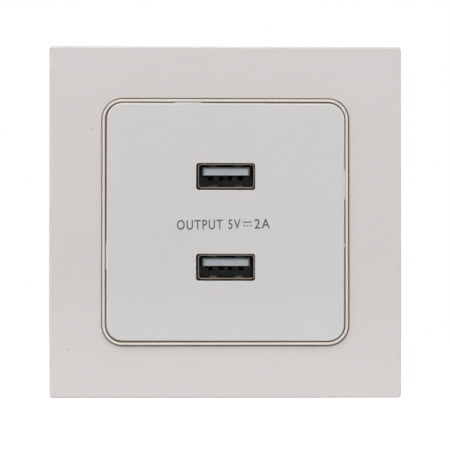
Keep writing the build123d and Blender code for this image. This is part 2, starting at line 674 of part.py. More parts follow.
def make_claw_slot(along, across):
    """The cutter of the leg's slot, long enough to clear the upright screw at every tilt of the claw."""
    tilt = radians(CLAW_REST_ANGLE)
    middle_r = CLAW_BEND_R + CLAW_SHEET / 2
    rest_centre = (CLAW_SCREW_AT - middle_r * sin(tilt)) / cos(tilt)
    rest_half = (CLAW_SCREW_R + CLAW_SHEET / 2 * sin(tilt)) / cos(tilt)
    near = min(rest_centre - rest_half, CLAW_SCREW_AT - CLAW_SCREW_R) - FIT
    far = max(rest_centre + rest_half, CLAW_SCREW_AT + CLAW_SCREW_R) + FIT
    centre = along * ((near + far) / 2) + across * middle_r
    leg = Plane(
        origin=(centre.X, 0, centre.Y), x_dir=(along.X, 0, along.Y), z_dir=(across.X, 0, across.Y)
    )
    return extrude(leg * SlotOverall(far - near, 2 * (CLAW_SCREW_R + FIT)), CLAW_SHEET, both=True)


def make_claw_screw():
    """The right claw's screw: a cross head on the support plate and a shank through the claw's leg."""
    seat = SUPPORT_THICK + RUN
    head_top = seat + CLAW_SCREW_HEAD
    head = chamfer(top_edges(rod(0, 0, CLAW_SCREW_HEAD_R, seat, head_top)), HEAD_EDGE)
    shank = rod(0, 0, CLAW_SCREW_R, seat - CLAW_SCREW_LENGTH, seat)
    shank = chamfer(shank.faces().sort_by(Axis.Z)[0].edges(), SHANK_POINT)
    return Pos(CLAW_SCREW_X, 0, 0) * (head - make_cross(head_top - CROSS_DEPTH, head_top) + shank)


def make_usb_shell():
    """A folded steel sleeve with spring leaves in its long sides and solder tabs at its back."""
    corner = SLEEVE_CORNER + SLEEVE_SHEET
    sleeve = slab(SLEEVE_OUT_WIDTH, SLEEVE_OUT_HEIGHT, corner, SLEEVE_BACK, SLEEVE_FRONT)
    sleeve -= slab(SLEEVE_WIDTH, SLEEVE_HEIGHT, SLEEVE_CORNER, SLEEVE_BACK, SLEEVE_FRONT)
    sleeve = fillet(top_edges(sleeve), SLEEVE_EDGE)
    wall = SLEEVE_OUT_HEIGHT / 2
    tip = SLEEVE_FRONT - SPRING_TIP
    half_cut = SPRING_WIDTH / 2 + SLEEVE_SHEET
    tongue_rise = SLEEVE_HEIGHT / 2 - TONGUE_LIFT - TONGUE_THICK - SPRING_PLAY
    for turn, rise in ((0, tongue_rise), (180, SPRING_RISE)):
        leaf = make_spring_leaf(rise)
        for x in (-SPRING_AT, SPRING_AT):
            cut = block(
                x - half_cut, x + half_cut, wall - SLEEVE_SHEET, wall, tip - SPRING_LENGTH, tip + SLEEVE_SHEET
            )
            sleeve -= Rot(0, 0, turn) * cut
            sleeve += Rot(0, 0, turn) * Pos(x, 0, 0) * leaf
    for x, y in tab_places():
        sleeve += block(
            x - SLEEVE_SHEET / 2,
            x + SLEEVE_SHEET / 2,
            y - TAB_WIDTH / 2,
            y + TAB_WIDTH / 2,
            USB_BOARD_BACK - LEAD_OUT,
            SLEEVE_BACK,
        )
    return sleeve


def make_spring_leaf(rise):
    """A leaf of the sleeve's upper side: it slopes inwards from its root to a crest behind its curled tip."""
    wall = SLEEVE_OUT_HEIGHT / 2
    tip = SLEEVE_FRONT - SPRING_TIP
    outside = [(wall, tip - SPRING_LENGTH), (wall - rise, tip - SPRING_NOSE), (wall - SPRING_CURL, tip)]
    inside = [(y - SLEEVE_SHEET, z) for y, z in reversed(outside)]
    profile = make_face(Polyline(*outside, *inside, close=True))
    return extrude(Plane.YZ * profile, SPRING_WIDTH / 2, both=True)


def tab_places():
    """Where a sleeve's solder tabs meet the board, from the port's centre."""
    x = (SLEEVE_WIDTH + SLEEVE_SHEET) / 2
    return [(side * x, level) for side in SIDES for level in (-TAB_AT, TAB_AT)]


def make_usb_insulator():
    """The moulded insert: a base that fills the sleeve's back and a tongue with grooves for the contacts."""
    half_width = SLEEVE_WIDTH / 2 - RUN
    half_height = SLEEVE_HEIGHT / 2 - RUN
    corner = SLEEVE_CORNER
    base = slab(2 * half_width, 2 * half_height, corner, SLEEVE_BACK, BASE_FRONT)
    tip = SLEEVE_FRONT - TONGUE_SETBACK
    top = TONGUE_LIFT + TONGUE_THICK
    tongue = block(-TONGUE_WIDTH / 2, TONGUE_WIDTH / 2, TONGUE_LIFT, top, BASE_FRONT, tip)
    front = tongue.faces().sort_by(Axis.Z)[-1].edges().sort_by(Axis.Y)[1:]
    insert = base + chamfer(front, TONGUE_CHAMFER)
    groove = TONGUE_LIFT + CONTACT_RISE + CONTACT_SHEET + RUN
    half_slot = CONTACT_WIDTH / 2 + RUN
    low = TONGUE_LIFT - CONTACT_SEAT - CONTACT_SHEET - RUN
    groove_end = BASE_FRONT + CONTACT_LENGTH + RUN
    for x in CONTACTS:
        insert -= block(x - half_slot, x + half_slot, low, TONGUE_LIFT, SLEEVE_BACK, BASE_FRONT)
        insert -= block(x - half_slot, x + half_slot, TONGUE_LIFT, groove, BASE_FRONT, groove_end)
    return insert


def make_usb_contacts():
    """Four sprung contact blades under the tongue, each with its solder pin."""
    seat = -CONTACT_SEAT - CONTACT_SHEET
    pin = USB_BOARD_BACK - LEAD_OUT
    lower = [
        (seat, pin),
        (seat, BASE_FRONT),
        (-CONTACT_DROP, BASE_FRONT + CONTACT_BEND),
        (CONTACT_RISE, BASE_FRONT + CONTACT_LENGTH),
    ]
    upper = [(y + CONTACT_SHEET, z) for y, z in reversed(lower)]
    blade = extrude(Plane.YZ * make_face(Polyline(*lower, *upper, close=True)), CONTACT_WIDTH / 2, both=True)
    return Compound([Pos(x, TONGUE_LIFT, 0) * blade for x in CONTACTS])


def board_outline(bottom, back):
    """A board with its corners cut away for the screw posts."""
    front = back + BOARD_THICK
    wide_low = max(bottom, -NOTCH_Y)
    board = block(-BOARD_HALF_WIDTH, BOARD_HALF_WIDTH, wide_low, NOTCH_Y, back, front)
    return board + block(-NOTCH_X, NOTCH_X, bottom, BOARD_HALF_HEIGHT, back, front)


def pin_places():
    """Where the link pins stand."""
    first = PIN_Y - PIN_PITCH * (PIN_COUNT - 1) / 2
    return [(PIN_X, first + PIN_PITCH * index) for index in range(PIN_COUNT)]


def make_usb_board():
    """The board under the ports, with holes for tabs, contact pins and link pins."""
    board = board_outline(-BOARD_HALF_HEIGHT, USB_BOARD_BACK)
    contact_y = TONGUE_LIFT - CONTACT_SEAT - CONTACT_SHEET / 2
    for level in PORTS.values():
        port_y = level + PORT_SHIFT_Y
        holes = [(x, y, TAB_WIDTH / 2 + FIT) for x, y in tab_places()]
        holes += [(x, contact_y, CONTACT_WIDTH / 2 + 2 * RUN) for x in CONTACTS]
        for x, y, radius in holes:
            board -= rod(PORT_SHIFT_X + x, port_y + y, radius, USB_BOARD_BACK, SLEEVE_BACK)
    for x, y in pin_places():
        board -= rod(x, y, PIN_HOLE / 2, USB_BOARD_BACK, SLEEVE_BACK)
    return board


def lead_pair(x, y, spacing):
    """The two lead places of a component with its leads side by side along x."""
    return [(x - spacing / 2, y), (x + spacing / 2, y)]


def lead_places():
    """Every lead that goes through the power board."""
    return [
        *lead_pair(CAN_X, CAN_LOW_Y, CAN_LEADS),
        *lead_pair(CAN_X, CAN_HIGH_Y, CAN_LEADS),
        *lead_pair(OUTPUT_CAN_X, OUTPUT_CAN_Y, CAN_LEADS),
        *lead_pair(SAFETY_X, SAFETY_Y, DISC_LEADS),
        *lead_pair(VARISTOR_X, VARISTOR_Y, DISC_LEADS),
        *lead_pair(FUSE_X, FUSE_Y, FUSE_LEADS),
        *lead_pair(CHOKE_X, CHOKE_Y, CAN_LEADS),
        *transformer_pins(),
    ]


def transformer_pins():
    """Where the bobbin's pins meet the board."""
    span = BOBBIN_DEPTH / 2 - BOBBIN_WALL
    columns = (-BOBBIN_PIN_PITCH, 0, BOBBIN_PIN_PITCH)
    return [(TRANSFORMER_X + x, TRANSFORMER_Y + side * span) for side in SIDES for x in columns]


def make_lead(x, y, top):
    """A square lead from a component down through the power board."""
    half = LEAD / 2
    return block(x - half, x + half, y - half, y + half, POWER_BOARD_BACK - LEAD_OUT, top)


def make_power_board():
    """The charger's board, with a hole for every lead."""
    board = board_outline(POWER_BOARD_LOW, POWER_BOARD_BACK)
    for x, y in lead_places():
        board -= rod(x, y, LEAD_HOLE / 2, POWER_BOARD_BACK, POWER_BOARD_FRONT)
    for x, y in pin_places():
        board -= rod(x, y, PIN_HOLE / 2, POWER_BOARD_BACK, POWER_BOARD_FRONT)
    return board


def make_link_pins():
    """Square pins that join the two boards."""
    half = PIN_SIDE / 2
    low, high = POWER_BOARD_BACK - LEAD_OUT, SLEEVE_BACK + LEAD_OUT
    return Compound([block(x - half, x + half, y - half, y + half, low, high) for x, y in pin_places()])


def make_link_header():
    """The moulded base of the link pins on the power board."""
    places = pin_places()
    half = PIN_PITCH / 2
    low, high = POWER_BOARD_FRONT, POWER_BOARD_FRONT + HEADER_HEIGHT
    header = block(PIN_X - half, PIN_X + half, places[0][1] - half, places[-1][1] + half, low, high)
    hole = PIN_SIDE / 2 + RUN
    for x, y in places:
        header -= block(x - hole, x + hole, y - hole, y + hole, low, high)
    return header


def make_can(x, y, radius, height):
    """An upright can with a turned-in top edge and two leads."""
    can = chamfer(top_edges(rod(x, y, radius, POWER_BOARD_FRONT, POWER_BOARD_FRONT + height)), CAN_EDGE)
    for lead_x, lead_y in lead_pair(x, y, CAN_LEADS):
        can += make_lead(lead_x, lead_y, POWER_BOARD_FRONT)
    return can


def make_disc(x, y):
    """A dipped disc that stands on two leads."""
    centre = POWER_BOARD_FRONT + DISC_LIFT + DISC_R
    disc = Cylinder(DISC_R, DISC_THICK)
    disc = chamfer(disc.edges().filter_by(GeomType.CIRCLE), DISC_EDGE)
    piece = Pos(x, y, centre) * Rot(90, 0, 0) * disc
    for lead_x, lead_y in lead_pair(x, y, DISC_LEADS):
        piece += make_lead(lead_x, lead_y, centre)
    return piece


def make_fuse_resistor():
    """A lying resistor body with its leads bent down to the board."""
    axis = POWER_BOARD_FRONT + FUSE_R
    piece = Pos(FUSE_X, FUSE_Y, axis) * Rot(0, 90, 0) * Cylinder(FUSE_R, FUSE_LENGTH)
    half = LEAD / 2
    reach = FUSE_LEADS / 2 + half
    piece += block(FUSE_X - reach, FUSE_X + reach, FUSE_Y - half, FUSE_Y + half, axis - half, axis + half)
    for x, y in lead_pair(FUSE_X, FUSE_Y, FUSE_LEADS):
        piece += make_lead(x, y, axis)
    return piece


def make_chip(x, y, width, length, height, legs):
    """A body soldered to the power board's back, with flat legs on its two long sides."""
    body = block(-width / 2, width / 2, -length / 2, length / 2, LEG_THICK, height)
    body = chamfer(top_edges(body), LEG_THICK)
    pitch = width / legs
    root, toe = length / 2 - LEG_REACH / 2, length / 2 + LEG_REACH
    for index in range(legs):
        left = pitch * (index + 0.5) - width / 2 - LEG_WIDTH / 2
        foot = block(left, left + LEG_WIDTH, root, toe, 0, LEG_THICK)
        body += foot
        body += mirror(foot, about=Plane.XZ)
    return Pos(x, y, POWER_BOARD_BACK) * Rot(180, 0, 0) * body


def make_transformer_core():
    """Two E-shaped ferrite halves as one closed core with a middle leg."""
    low = POWER_BOARD_FRONT + BOBBIN_FOOT
    half = CORE_WIDTH / 2
    high = low + CORE_HEIGHT
    core = block(-half, half, -CORE_THICK / 2, CORE_THICK / 2, low, high)
    for side in SIDES:
        near, far = sorted((side * CORE_CENTRE / 2, side * (half - CORE_LEG)))
        core -= block(near, far, -CORE_THICK / 2, CORE_THICK / 2, low + CORE_LEG, high - CORE_LEG)
    return Pos(TRANSFORMER_X, TRANSFORMER_Y, 0) * core


def make_transformer_bobbin():
    """The moulded bobbin: a tube on the core's middle leg, two flanges and rails with pins."""
    low = POWER_BOARD_FRONT + BOBBIN_FOOT + CORE_LEG + RUN
    high = POWER_BOARD_FRONT + BOBBIN_FOOT + CORE_HEIGHT - CORE_LEG - RUN
    flange = CORE_WIDTH / 2 - CORE_LEG - RUN
    deep = BOBBIN_DEPTH / 2
    tube_x, tube_y = CORE_CENTRE / 2 + RUN + BOBBIN_WALL, CORE_THICK / 2 + RUN + BOBBIN_WALL
    bobbin = block(-tube_x, tube_x, -tube_y, tube_y, low, high)
    bobbin += block(-flange, flange, -deep, deep, low, low + BOBBIN_WALL)
    bobbin += block(-flange, flange, -deep, deep, high - BOBBIN_WALL, high)
    bobbin -= block(
        -CORE_CENTRE / 2 - RUN, CORE_CENTRE / 2 + RUN, -CORE_THICK / 2 - RUN, CORE_THICK / 2 + RUN, low, high
    )
    for side in SIDES:
        near, far = sorted((side * (CORE_THICK / 2 + RUN + BOBBIN_WALL), side * deep))
        bobbin += block(-flange, flange, near, far, POWER_BOARD_FRONT, low)
    bobbin = Pos(TRANSFORMER_X, TRANSFORMER_Y, 0) * bobbin
    for x, y in transformer_pins():
        bobbin += make_lead(x, y, POWER_BOARD_FRONT + BOBBIN_FOOT)
    return bobbin


def make_transformer_winding():
    """The taped coil round the bobbin's tube."""
    low = POWER_BOARD_FRONT + BOBBIN_FOOT + CORE_LEG + 2 * RUN + BOBBIN_WALL
    high = POWER_BOARD_FRONT + BOBBIN_FOOT + CORE_HEIGHT - CORE_LEG - 2 * RUN - BOBBIN_WALL
    inner_x = CORE_CENTRE / 2 + 2 * RUN + BOBBIN_WALL
    inner_y = CORE_THICK / 2 + 2 * RUN + BOBBIN_WALL
    outer_x = CORE_WIDTH / 2 - CORE_LEG - FIT
    outer_y = BOBBIN_DEPTH / 2 - FIT
    coil = slab(2 * outer_x, 2 * outer_y, outer_x - inner_x, low, high)
    coil -= block(-inner_x, inner_x, -inner_y, inner_y, low, high)
    return Pos(TRANSFORMER_X, TRANSFORMER_Y, 0) * coil


def make_terminal_block(side):
    """A brass pillar terminal: wire bore from the back, screw hole from below and a solder tag."""
    x = side * TERMINAL_X
    half = TERMINAL_WIDTH / 2
    pillar = block(x - half, x + half, TERMINAL_LOW, TERMINAL_TOP, CAVITY_BACK, TERMINAL_FRONT)
    pillar -= rod(x, WIRE_Y, WIRE_R, CAVITY_BACK, TERMINAL_FRONT)
    depth = WIRE_Y - TERMINAL_LOW
    hole = Cylinder(TERMINAL_SCREW_R + RUN, depth)
    pillar -= Pos(x, TERMINAL_LOW + depth / 2, TERMINAL_SCREW_Z) * Rot(90, 0, 0) * hole
    tag = block(
        x - TAG_WIDTH / 2,
        x + TAG_WIDTH / 2,
        TERMINAL_TOP,
        POWER_BOARD_LOW + TAG_OVERLAP,
        POWER_BOARD_FRONT,
        POWER_BOARD_FRONT + TAG_THICK,
    )
    return pillar + tag


def make_terminal_screw(side):
    """A clamping screw, backed out: its head in the access hole and its tip just short of the wire bore."""
    head_top = TERMINAL_LOW - TERMINAL_SCREW_TRAVEL
    tip = WIRE_Y - WIRE_R - RUN
    head = rod(0, 0, TERMINAL_SCREW_HEAD_R, -TERMINAL_SCREW_HEAD, 0)
    slot = block(
        -TERMINAL_SCREW_HEAD_R,
        TERMINAL_SCREW_HEAD_R,
        -CROSS_WIDTH / 2,
        CROSS_WIDTH / 2,
        -TERMINAL_SCREW_HEAD,
        CROSS_WIDTH - TERMINAL_SCREW_HEAD,
    )
    screw = head - slot + rod(0, 0, TERMINAL_SCREW_R, 0, tip - head_top)
    return Pos(side * TERMINAL_X, head_top, TERMINAL_SCREW_Z) * Rot(-90, 0, 0) * screw


def port_pieces():
    """The sleeve, insert and contacts of each port."""
    kinds = {"shell": make_usb_shell(), "insulator": make_usb_insulator(), "contacts": make_usb_contacts()}
    pieces = {}
    for port, level in PORTS.items():
        for kind, shape in kinds.items():
            pieces[f"usb_{kind}_{port}"] = Pos(PORT_SHIFT_X, level + PORT_SHIFT_Y, 0) * shape
    return pieces


def claw_pieces():
    """The claws and their screws, the left ones turned half round from the right ones."""
    kinds = {"claw": make_claw(), "claw_screw": make_claw_screw()}
    pieces = {}
    for kind, shape in kinds.items():
        pieces[f"{kind}_right"] = shape
        pieces[f"{kind}_left"] = Rot(0, 0, 180) * shape
    return pieces


def charger_pieces():
    """The boards and what is soldered to the power board."""
    cans = [make_can(CAN_X, y, CAN_R, CAN_HEIGHT) for y in (CAN_LOW_Y, CAN_HIGH_Y)]
    return {
        "usb_board": make_usb_board(),
        "power_board": make_power_board(),
        "board_link_pins": make_link_pins(),
        "board_link_header": make_link_header(),
        "transformer_core": make_transformer_core(),
        "transformer_bobbin": make_transformer_bobbin(),
        "transformer_winding": make_transformer_winding(),
        "input_capacitors": Compound(cans),
        "output_capacitor": make_can(OUTPUT_CAN_X, OUTPUT_CAN_Y, CAN_R, CAN_HEIGHT),
        "safety_capacitor": make_disc(SAFETY_X, SAFETY_Y),
        "varistor": make_disc(VARISTOR_X, VARISTOR_Y),
        "fuse_resistor": make_fuse_resistor(),
        "line_choke": make_can(CHOKE_X, CHOKE_Y, CHOKE_R, CHOKE_HEIGHT),
        "bridge_rectifier": make_chip(BRIDGE_X, BRIDGE_Y, BRIDGE_WIDTH, BRIDGE_LENGTH, BRIDGE_HEIGHT, 2),
        "controller_chip": make_chip(TRANSFORMER_X, TRANSFORMER_Y, CHIP_WIDTH, CHIP_LENGTH, CHIP_HEIGHT, 4),
        "output_rectifier": make_chip(CAN_X, DIODE_Y, DIODE_WIDTH, DIODE_LENGTH, DIODE_HEIGHT, 1),
    }


def terminal_pieces():
    """The two wire terminals and their screws."""
    pieces = {}
    for name, side in (("live", -1), ("neutral", 1)):
        pieces[f"terminal_block_{name}"] = make_terminal_block(side)
        pieces[f"terminal_screw_{name}"] = make_terminal_screw(side)
    return pieces


def make_pieces():
    """Every piece of the socket by its name."""
    return {
        "decor_frame": make_decor_frame(),
        "trim_ring": make_trim_ring(),
        "centre_plate": make_centre_plate(),
        "support_plate": make_support_plate(),
        "front_housing": make_front_housing(),
        "rear_housing": make_rear_housing(),
        "housing_screws": make_housing_screws(),
        **claw_pieces(),
        **port_pieces(),
        **charger_pieces(),
        **terminal_pieces(),
    }


os.makedirs("parts", exist_ok=True)
for name, shape in make_pieces().items():
    export_step(stand(shape), f"parts/{name}.step")
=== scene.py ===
"""Looks of a flush-mounted wall socket with two charging ports.

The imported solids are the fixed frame. This script dresses them, adds the print on the face, the threads of
the claw screws and the moulded marks of the terminals, and sets a plain studio with a camera in front.
"""
import logging
import math
from dataclasses import dataclass, field
from enum import Enum
from functools import cache
from typing import Any, Iterable

import bpy
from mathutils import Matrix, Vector


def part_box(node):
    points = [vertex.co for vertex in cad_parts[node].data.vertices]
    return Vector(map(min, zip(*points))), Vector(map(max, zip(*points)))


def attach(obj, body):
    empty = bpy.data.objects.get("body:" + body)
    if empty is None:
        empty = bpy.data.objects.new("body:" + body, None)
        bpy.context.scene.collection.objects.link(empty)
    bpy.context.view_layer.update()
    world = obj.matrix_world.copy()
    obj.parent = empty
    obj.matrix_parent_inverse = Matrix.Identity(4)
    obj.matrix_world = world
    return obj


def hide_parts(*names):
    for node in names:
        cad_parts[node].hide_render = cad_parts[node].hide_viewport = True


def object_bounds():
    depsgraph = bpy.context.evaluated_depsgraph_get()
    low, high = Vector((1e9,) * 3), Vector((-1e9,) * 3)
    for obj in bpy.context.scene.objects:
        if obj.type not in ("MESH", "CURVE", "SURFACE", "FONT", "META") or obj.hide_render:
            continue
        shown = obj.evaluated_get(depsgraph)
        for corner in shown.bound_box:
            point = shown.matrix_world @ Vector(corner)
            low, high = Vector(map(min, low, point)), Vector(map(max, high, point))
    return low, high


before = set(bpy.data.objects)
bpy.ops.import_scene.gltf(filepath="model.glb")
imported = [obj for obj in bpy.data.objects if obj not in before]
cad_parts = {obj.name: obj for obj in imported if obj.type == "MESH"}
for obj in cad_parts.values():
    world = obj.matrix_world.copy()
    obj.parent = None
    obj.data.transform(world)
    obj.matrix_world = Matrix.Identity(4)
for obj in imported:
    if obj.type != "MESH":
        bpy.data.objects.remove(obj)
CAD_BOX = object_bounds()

MM = 0.001
SMOOTH_ANGLE = math.radians(30)
# A mix node's sockets for colours go by number, because their names repeat.
MIX_SHARE = 0
MIX_FIRST = 6
MIX_SECOND = 7
MIX_RESULT = 2
log = logging.getLogger("wall_socket")


class Side(Enum):
    """The two sides of the socket, as the nodes' names have them."""

    LEFT = "left"
    RIGHT = "right"


class Axis(Enum):
    """The axis that a finish's lines or bands run across."""

    X = "X"
    Y = "Y"
    Z = "Z"


class Port(Enum):
    """The two charging ports."""

    UPPER = "upper"
    LOWER = "lower"


class Wire(Enum):
    """The two supply wires, with the letter that marks each terminal."""

    LIVE = "L"
    NEUTRAL = "N"


def linear(colour: str) -> tuple[float, float, float, float]:
    """Turn an sRGB hex colour into linear light.

    Args:
        colour: A colour such as "#D1CECB".

    Returns:
        Red, green, blue and an alpha of 1.
    """
    parts = [int(colour[start:start + 2], 16) / 255 for start in (1, 3, 5)]
    light = [part / 12.92 if part <= 0.04045 else ((part + 0.055) / 1.055) ** 2.4 for part in parts]
    return (*light, 1.0)


def per(size_mm: float) -> float:
    """The texture scale at which one feature measures size_mm."""
    return 1 / (size_mm * MM)


def add_node(
    tree: bpy.types.NodeTree, kind: str, inputs: dict[str | int, Any], **settings: Any
) -> bpy.types.Node:
    """Add a node with its settings, and set or link its inputs.

    Args:
        tree: The tree that gets the node.
        kind: The node's type.
        inputs: Values, or sockets to link from, by the input's name or number.
        settings: The node's own properties.

    Returns:
        The new node.
    """
    node = tree.nodes.new(kind)
    for name, value in settings.items():
        setattr(node, name, value)
    for key, value in inputs.items():
        if isinstance(value, bpy.types.NodeSocket):
            tree.links.new(value, node.inputs[key])
        else:
            node.inputs[key].default_value = value
    return node


@dataclass(frozen=True)
class Finish:
    """A surface finish: what all of them state. Each kind paints its own detail over these values."""

    name: str
    colour: str
    roughness: float
    metallic: float = 0.0
    ior: float = 1.5
    shine_share: float = 0.2

    @cache
    def material(self) -> bpy.types.Material:
        """Make the finish's material once.

        Returns:
            The material, with the pattern of its kind.
        """
        made = bpy.data.materials.new(self.name)
        made.use_nodes = True
        tree = made.node_tree
        shader = tree.nodes["Principled BSDF"]
        shader.inputs["Base Color"].default_value = linear(self.colour)
        shader.inputs["Roughness"].default_value = self.roughness
        shader.inputs["Metallic"].default_value = self.metallic
        if not self.metallic:
            shader.inputs["IOR"].default_value = self.ior
        place = add_node(tree, "ShaderNodeTexCoord", {}).outputs["Object"]
        self.paint(tree, shader, place)
        return made

    def paint(self, tree: bpy.types.NodeTree, shader: bpy.types.Node, place: bpy.types.NodeSocket) -> None:
        """Draw the finish's own detail.

        Args:
            tree: The material's tree.
            shader: Its principled shader.
            place: The object coordinates, in metres.
        """
        raise NotImplementedError

    def shade(
        self, tree: bpy.types.NodeTree, value: bpy.types.NodeSocket, share: float
    ) -> bpy.types.NodeSocket:
        """The finish's colour, made lighter and darker by a pattern.

        Args:
            tree: The material's tree.
            value: A pattern from 0 to 1.
            share: How far the colour goes up and down, as a share of itself.

        Returns:
            The socket with the varied colour.
        """
        swing = add_node(
            tree, "ShaderNodeMapRange", {"Value": value, "To Min": 1 - share, "To Max": 1 + share}
        )
        colour = linear(self.colour)[:3]
        scaled = add_node(
            tree, "ShaderNodeVectorMath", {0: colour, "Scale": swing.outputs[0]}, operation="SCALE"
        )
        return scaled.outputs[0]

    def vary_roughness(
        self, tree: bpy.types.NodeTree, shader: bpy.types.Node, value: bpy.types.NodeSocket
    ) -> None:
        """Let a pattern roughen and smooth the surface, by the finish's share of its roughness.

        Args:
            tree: The material's tree.
            shader: Its principled shader.
            value: A pattern from 0 to 1.
        """
        low, high = self.roughness * (1 - self.shine_share), self.roughness * (1 + self.shine_share)
        varied = add_node(tree, "ShaderNodeMapRange", {"Value": value, "To Min": low, "To Max": high})
        tree.links.new(varied.outputs[0], shader.inputs["Roughness"])


def raise_surface(
    tree: bpy.types.NodeTree, shader: bpy.types.Node, height: bpy.types.NodeSocket, depth_mm: float
) -> None:
    """Give a surface relief from a pattern.

    Args:
        tree: The material's tree.
        shader: Its principled shader.
        height: The pattern, from 0 to 1.
        depth_mm: How deep the relief is.
    """
    bump = add_node(tree, "ShaderNodeBump", {"Height": height, "Distance": depth_mm * MM, "Strength": 1.0})
    tree.links.new(bump.outputs[0], shader.inputs["Normal"])


def paint_shade_inwards(
    tree: bpy.types.NodeTree,
    shader: bpy.types.Node,
    place: bpy.types.NodeSocket,
    span_mm: tuple[float, float],
    share: float,
) -> None:
    """Paint shade on a surface on its way into an opening, darkening its colour inwards.

    Args:
        tree: The material's tree.
        shader: Its principled shader, with its colour linked.
        place: The object coordinates.
        span_mm: The y where the colour is whole, and the y from where only a share is left.
        share: That share.
    """
    depth = add_node(tree, "ShaderNodeSeparateXYZ", {0: place})
    fall = add_node(
        tree,
        "ShaderNodeMapRange",
        {
            "Value": depth.outputs["Y"],
            "From Min": span_mm[0] * MM,
            "From Max": span_mm[1] * MM,
            "To Min": 1.0,
            "To Max": share,
        },
    )
    colour = shader.inputs["Base Color"].links[0].from_socket
    faded = add_node(tree, "ShaderNodeVectorMath", {0: colour, "Scale": fall.outputs[0]}, operation="SCALE")
    tree.links.new(faded.outputs[0], shader.inputs["Base Color"])


@dataclass(frozen=True)
class PolishedMoulding(Finish):
    """Polished ABS: faint clouds, orange peel in the shine, a few specks, and warm painted shade in the
    seams.
    """

    shine_share: float = 0.15
    # The y of the top and of the floor of the painted seam shade.
    seam_shade_mm: tuple[float, float] = (0.0, 0.0)
    cloud_mm: float = 16.0
    cloud_share: float = 0.012
    peel_mm: float = 1.6
    peel_depth_mm: float = 0.0005
    speck_cell_mm: float = 7.0
    speck_radius_mm: float = 0.22
    speck_core: float = 0.5
    speck_colour: str = "#9A958F"
    seam_shade_fade_mm: float = 0.25
    seam_shade_within_mm: float = 29.5
    # A warm darker tint painted deep in the seams: painted shade for the warm shade that falls there.
    seam_shade_colour: str = "#D0A48C"

    def paint(self, tree: bpy.types.NodeTree, shader: bpy.types.Node, place: bpy.types.NodeSocket) -> None:
        """Clouds, specks, painted seam shade, peel and an uneven shine.

        Args:
            tree: The material's tree.
            shader: Its principled shader.
            place: The object coordinates.
        """
        clouds = add_node(
            tree, "ShaderNodeTexNoise", {"Vector": place, "Scale": per(self.cloud_mm), "Detail": 3.0}
        ).outputs["Fac"]
        cells = add_node(tree, "ShaderNodeTexVoronoi", {"Vector": place, "Scale": per(self.speck_cell_mm)})
        edge = self.speck_radius_mm / self.speck_cell_mm
        speck = add_node(
            tree,
            "ShaderNodeMapRange",
            {"Value": cells.outputs["Distance"], "From Min": edge, "From Max": edge * self.speck_core},
        )
        colour = self.shade(tree, clouds, self.cloud_share)
        # The second cover is the painted seam shade.
        covers = ((speck.outputs[0], self.speck_colour), (self.paint_seam_shade(tree, place), self.seam_shade_colour))
        for share, cover in covers:
            mixed = add_node(
                tree,
                "ShaderNodeMix",
                {MIX_SHARE: share, MIX_FIRST: colour, MIX_SECOND: linear(cover)},
                data_type="RGBA",
            )
            colour = mixed.outputs[MIX_RESULT]
        tree.links.new(colour, shader.inputs["Base Color"])
        self.vary_roughness(tree, shader, clouds)
        peel = add_node(
            tree, "ShaderNodeTexNoise", {"Vector": place, "Scale": per(self.peel_mm), "Detail": 1.0}
        )
        raise_surface(tree, shader, peel.outputs["Fac"], self.peel_depth_mm)

    def paint_seam_shade(self, tree: bpy.types.NodeTree, place: bpy.types.NodeSocket) -> bpy.types.NodeSocket:
        """How much painted shade lies at a place: all from its top to its floor, and only as far out as the
        seams.

        Args:
            tree: The material's tree.
            place: The object coordinates.

        Returns:
            A socket from 0 to 1.
        """
        depth = add_node(tree, "ShaderNodeSeparateXYZ", {0: place}).outputs["Y"]
        top, floor = self.seam_shade_mm
        buried = add_node(
            tree,
            "ShaderNodeMapRange",
            {"Value": depth, "From Min": top * MM, "From Max": (top + self.seam_shade_fade_mm) * MM},
        )
        spread = add_node(tree, "ShaderNodeVectorMath", {0: place}, operation="ABSOLUTE")
        aside = add_node(tree, "ShaderNodeSeparateXYZ", {0: spread.outputs[0]})
        reach = add_node(
            tree, "ShaderNodeMath", {0: aside.outputs["X"], 1: aside.outputs["Z"]}, operation="MAXIMUM"
        )
        amount = buried.outputs[0]
        for value, limit_mm in ((reach.outputs[0], self.seam_shade_within_mm), (depth, floor)):
            inside = add_node(tree, "ShaderNodeMath", {0: value, 1: limit_mm * MM}, operation="LESS_THAN")
            kept = add_node(tree, "ShaderNodeMath", {0: amount, 1: inside.outputs[0]}, operation="MULTIPLY")
            amount = kept.outputs[0]
        return amount


@dataclass(frozen=True)
class SparkMoulding(Finish):
    """Plastic moulded in a spark-eroded tool: a fine even grain that breaks up the shine."""

    # The real grain is about 0.05 mm, which is too fine to show, so it is drawn coarser.
    grain_mm: float = 0.28
    grain_depth_mm: float = 0.02
    cloud_mm: float = 9.0
    cloud_share: float = 0.04

    def paint(self, tree: bpy.types.NodeTree, shader: bpy.types.Node, place: bpy.types.NodeSocket) -> None:
        """Grain in the relief and the shine, and slow clouds in the colour.

        Args:
            tree: The material's tree.
            shader: Its principled shader.
            place: The object coordinates.
        """
        clouds = add_node(
            tree, "ShaderNodeTexNoise", {"Vector": place, "Scale": per(self.cloud_mm), "Detail": 4.0}
        ).outputs["Fac"]
        tree.links.new(self.shade(tree, clouds, self.cloud_share), shader.inputs["Base Color"])
        grain = add_node(
            tree, "ShaderNodeTexNoise", {"Vector": place, "Scale": per(self.grain_mm), "Detail": 2.0}
        ).outputs["Fac"]
        self.vary_roughness(tree, shader, grain)
        raise_surface(tree, shader, grain, self.grain_depth_mm)


